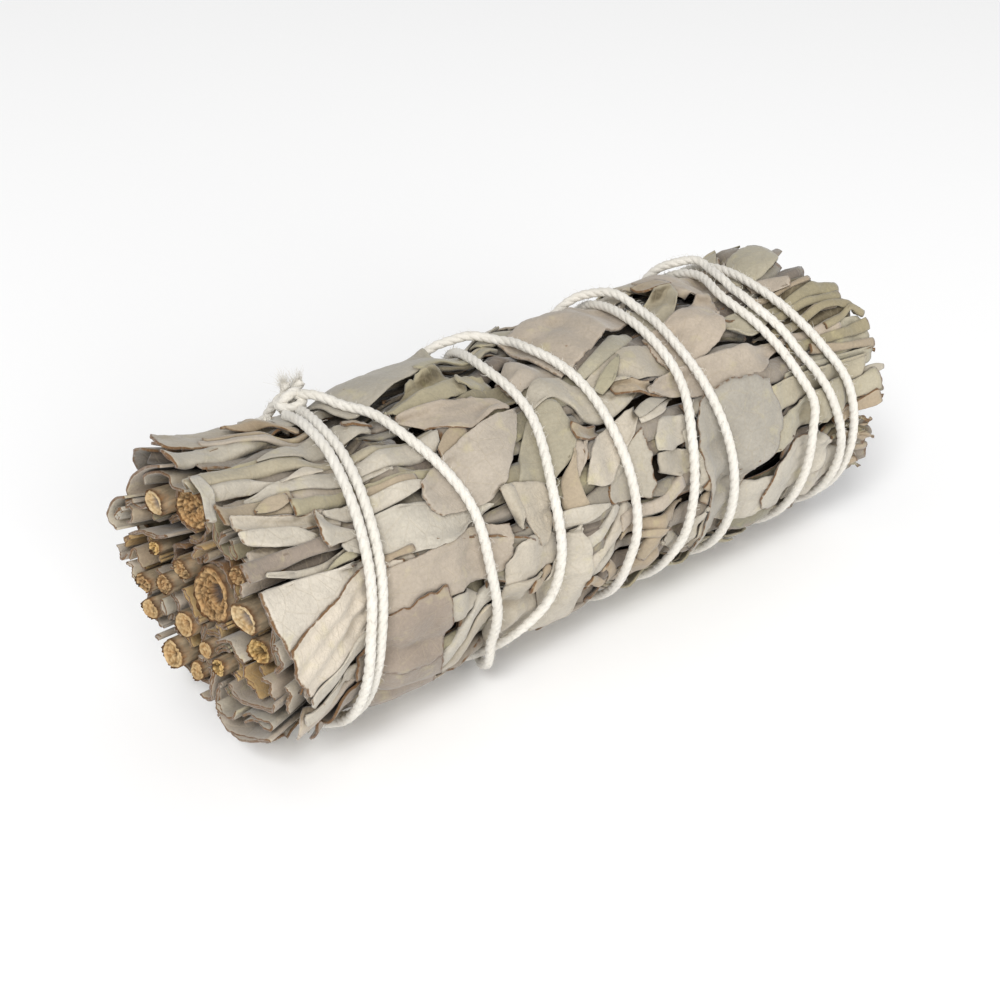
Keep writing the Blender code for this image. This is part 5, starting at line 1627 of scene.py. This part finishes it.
def leaf_material(settings):
    """Dry white sage: matt and felted, mottled, with a faint net of veins and brown cut edges."""
    material, shader = new_material("dry_sage_leaf", 0.86, 0.25)
    tree = material.node_tree
    names = ("tint", "place", "rim")
    tint, place, rim = (add_node(tree, "ShaderNodeAttribute", attribute_name=name) for name in names)
    here = add_node(tree, "ShaderNodeTexCoord").outputs["Object"]
    inputs = {
        "Tint": tint.outputs["Color"], "Vector": here, "Rim": rim.outputs["Fac"],
        "Edge Brown": (*settings.edge_colour, 1.0),
    }
    mottle = add_node(tree, "ShaderNodeGroup", inputs, node_tree=dry_mottle_group())
    net = add_node(tree, "ShaderNodeGroup", {"Place": place.outputs["Vector"]}, node_tree=net_vein_group())
    veins = net.outputs["Veins"]
    faint = math_node(tree, "MULTIPLY", veins, 0.22)
    lined = mixed(tree, faint, mottle.outputs["Color"], LEAF_VEIN)
    tree.links.new(lined, shader.inputs["Base Color"])
    felt = math_node(tree, "MULTIPLY", noise_node(tree, here, 5200.0, 2.0, 0.7), 0.16)
    buckle = math_node(tree, "MULTIPLY", noise_node(tree, here, 520.0, 3.0, 0.55), 0.9)
    height = math_node(tree, "ADD", felt, buckle)
    height = math_node(tree, "SUBTRACT", height, math_node(tree, "MULTIPLY", veins, 0.10))
    add_bump(tree, shader, height, 0.6, 0.0005)
    return material


def stem_material(settings):
    """Dry wood: the painted tints of bark, fibres and pith, broken up by fine grain."""
    material, shader = new_material("cut_sage_wood", 0.78)
    tree = material.node_tree
    tint = add_node(tree, "ShaderNodeAttribute", attribute_name="tint")
    here = add_node(tree, "ShaderNodeTexCoord").outputs["Object"]
    stretched = add_node(tree, "ShaderNodeMapping", {"Vector": here, "Scale": (0.25, 1.0, 1.0)})
    grain = noise_node(tree, stretched.outputs["Vector"], 2400.0, 4.0, 0.65)
    patch = noise_node(tree, here, 700.0, 3.0, 0.6)
    grained = ranged(tree, grain, 0.25, 0.75, 0.72, 1.22)
    shade = math_node(tree, "MULTIPLY", grained, ranged(tree, patch, 0.3, 0.7, 0.8, 1.15))
    wood = scaled(tree, tint.outputs["Color"], shade)
    stain = ranged(tree, patch, 0.5, 0.7, 0.0, 0.35)
    warm = mixed(tree, stain, wood, (*settings.stain_colour, 1.0))
    tree.links.new(warm, shader.inputs["Base Color"])
    add_bump(tree, shader, grain, 0.6, 0.0003)
    return material


def twine_material(settings):
    """Undyed cotton: warm white and matt, with soft spun fibres."""
    material, shader = new_material("undyed_cotton", 0.9, 0.3)
    tree = material.node_tree
    here = add_node(tree, "ShaderNodeTexCoord").outputs["Object"]
    fibres = noise_node(tree, here, 3800.0, 3.0, 0.7)
    patch = noise_node(tree, here, 240.0, 2.0, 0.5)
    cotton = (*settings.colour, 1.0)
    colour = mixed(tree, ranged(tree, patch, 0.35, 0.7, 0.0, 0.5), cotton, COTTON_PATCH)
    colour = mixed(tree, ranged(tree, fibres, 0.3, 0.7, 0.0, 0.22), colour, COTTON_FIBRE)
    tree.links.new(colour, shader.inputs["Base Color"])
    add_bump(tree, shader, fibres, 0.7, 0.0002)
    return material


class LeafSettings(bpy.types.PropertyGroup):
    thickness: FloatProperty(
        name="Leaf thickness", description="How thick each leaf is", default=0.00032, min=0.0001,
        unit="LENGTH", precision=5,
    )
    edge_colour: FloatVectorProperty(
        name="Edge brown", description="Colour of cut and torn leaf edges", default=(0.15, 0.08, 0.034),
        subtype="COLOR", min=0.0, max=1.0,
    )


class StemSettings(bpy.types.PropertyGroup):
    stain_colour: FloatVectorProperty(
        name="Wood stain", description="Colour of the darker patches on cut wood",
        default=(0.34, 0.16, 0.05), subtype="COLOR", min=0.0, max=1.0,
    )


class TwineSettings(bpy.types.PropertyGroup):
    diameter_mm: FloatProperty(
        name="Diameter", description="Thickness of the twine in millimetres", default=TWINE_DIAMETER,
        min=0.5, max=3.0,
    )
    pitch_mm: FloatProperty(
        name="Twist", description="Length of one full twist of the plies in millimetres", default=4.1, min=1.0
    )
    fuzz_mm: FloatProperty(
        name="Fuzz", description="Length of the loose fibres in millimetres", default=0.75, min=0.0
    )
    fuzz_count: IntProperty(
        name="Fibres", description="How many loose fibres stand out of the twine", default=3400, min=0
    )
    colour: FloatVectorProperty(
        name="Cotton", description="Colour of the undyed cotton", default=(0.72, 0.69, 0.63),
        subtype="COLOR", min=0.0, max=1.0,
    )


class StageSettings(bpy.types.PropertyGroup):
    azimuth: FloatProperty(
        name="Azimuth", description="The photograph's direction of view round the bundle",
        default=math.radians(-38.48), subtype="ANGLE",
    )
    elevation: FloatProperty(
        name="Elevation", description="The photograph's height of view above the floor",
        default=math.radians(31.87), subtype="ANGLE",
    )
    distance: FloatProperty(
        name="Distance", description="From the point looked at to the camera", default=0.2309,
        unit="LENGTH",
    )
    lens: FloatProperty(name="Lens", description="Focal length in millimetres", default=61.2, min=10.0)
    floor_colour: FloatVectorProperty(
        name="Floor", description="Colour of the pale floor", default=(0.97, 0.97, 0.97),
        subtype="COLOR", min=0.0, max=1.0,
    )


# The point that the camera and the lights look at, and each light's place, energy and size
TARGET = Vector((-3.158, 0.0, 17.895)) * MM
KEY_LIGHT = ((-0.99, -0.76, 1.30), 20.4, 0.6)
FILL_LIGHT = ((-0.37, -1.64, 0.64), 16.0, 1.0)
DAYLIGHT = 0.5
SENSOR_WIDTH = 36.0
FLOOR_REACH = 3.0


def add_camera(settings):
    """Puts the camera where the photograph was taken from."""
    camera = bpy.data.cameras.new("camera")
    camera.lens = settings.lens
    camera.sensor_width = SENSOR_WIDTH
    camera.clip_start = 0.01
    item = linked_object("camera", camera)
    flat = math.cos(settings.elevation)
    back = Vector((
        math.sin(settings.azimuth) * flat, -math.cos(settings.azimuth) * flat, math.sin(settings.elevation)
    ))
    item.location = TARGET + back * settings.distance
    item.rotation_euler = back.to_track_quat("Z", "Y").to_euler()
    bpy.context.scene.camera = item


def add_floor(settings):
    """Lays the plain floor that the bundle rests on."""
    shape = bmesh.new()
    bmesh.ops.create_grid(shape, x_segments=1, y_segments=1, size=FLOOR_REACH)
    material, shader = new_material("pale_floor", 0.9)
    shader.inputs["Base Color"].default_value = (*settings.floor_colour, 1.0)
    item = mesh_object("pale_floor", shape, material)


def add_area_light(name, place, energy, size):
    """Adds a soft lamp that faces the bundle."""
    light = bpy.data.lights.new(name, "AREA")
    light.energy = energy
    light.size = size
    item = linked_object(name, light)
    item.location = place
    item.rotation_euler = (item.location - TARGET).to_track_quat("Z", "Y").to_euler()


def add_world(strength):
    """Lights the scene evenly from all round."""
    world = bpy.data.worlds.new("soft daylight")
    world.use_nodes = True
    background = world.node_tree.nodes["Background"]
    background.inputs["Color"].default_value = (1.0, 1.0, 1.0, 1.0)
    background.inputs["Strength"].default_value = strength
    bpy.context.scene.world = world


class SMUDGE_OT_stage(bpy.types.Operator):
    """Sets the pale floor, the soft studio light and the camera at the photograph's angle"""

    bl_idname = "smudge.stage"
    bl_label = "Stage"

    def execute(self, context):
        settings = context.scene.smudge_stage
        add_floor(settings)
        add_camera(settings)
        add_world(DAYLIGHT)
        add_area_light("key_light", *KEY_LIGHT)
        add_area_light("fill_light", *FILL_LIGHT)
        context.scene.view_settings.view_transform = "Standard"
        return {"FINISHED"}


class SMUDGE_OT_leaves(bpy.types.Operator):
    """Lays the leaves of the ten sprigs over the bundle and packs its ends"""

    bl_idname = "smudge.leaves"
    bl_label = "Sage leaves"

    def execute(self, context):
        build_sprigs(context.scene.smudge_leaves)
        return {"FINISHED"}


class SMUDGE_OT_stems(bpy.types.Operator):
    """Makes the sixteen cut woody stems"""

    bl_idname = "smudge.stems"
    bl_label = "Woody stems"

    def execute(self, context):
        material = stem_material(context.scene.smudge_stems)
        for number, stem in enumerate(STEMS, start=1):
            build_stem(number, stem, material)
        return {"FINISHED"}


class SMUDGE_OT_twine(bpy.types.Operator):
    """Winds the twisted cotton twine with its knot, loose fibres and tuft"""

    bl_idname = "smudge.twine"
    bl_label = "Cotton twine"

    def execute(self, context):
        settings = context.scene.smudge_twine
        material = twine_material(settings)
        build_twine(settings, material)
        build_fuzz(settings, material)
        return {"FINISHED"}


OPERATORS = (SMUDGE_OT_stage, SMUDGE_OT_leaves, SMUDGE_OT_stems, SMUDGE_OT_twine)


class SMUDGE_PT_panel(bpy.types.Panel):
    """Lists the steps that dress the smudge stick"""

    bl_idname = "SMUDGE_PT_panel"
    bl_label = "Smudge Stick"
    bl_space_type = "VIEW_3D"
    bl_region_type = "UI"
    bl_category = "Smudge Stick"

    def draw(self, context):
        for operator in OPERATORS:
            self.layout.operator(operator.bl_idname)
        for name in SETTINGS:
            box = self.layout.box()
            settings = getattr(context.scene, name)
            for key in settings.bl_rna.properties.keys():
                if key not in ("rna_type", "name"):
                    box.prop(settings, key)


SETTINGS = {
    "smudge_leaves": LeafSettings,
    "smudge_stems": StemSettings,
    "smudge_twine": TwineSettings,
    "smudge_stage": StageSettings,
}
CLASSES = (*SETTINGS.values(), *OPERATORS, SMUDGE_PT_panel)


def register():
    """Makes the add-on's classes and settings known."""
    for item in CLASSES:
        bpy.utils.register_class(item)
    for name, settings in SETTINGS.items():
        setattr(bpy.types.Scene, name, PointerProperty(type=settings))


def unregister():
    """Takes the add-on's settings and classes away again."""
    for name in SETTINGS:
        delattr(bpy.types.Scene, name)
    for item in reversed(CLASSES):
        bpy.utils.unregister_class(item)


def main():
    """Registers the add-on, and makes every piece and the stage."""
    register()
    bpy.ops.smudge.stage()
    bpy.ops.smudge.leaves()
    bpy.ops.smudge.stems()
    bpy.ops.smudge.twine()


if __name__ == "__main__":
    main()
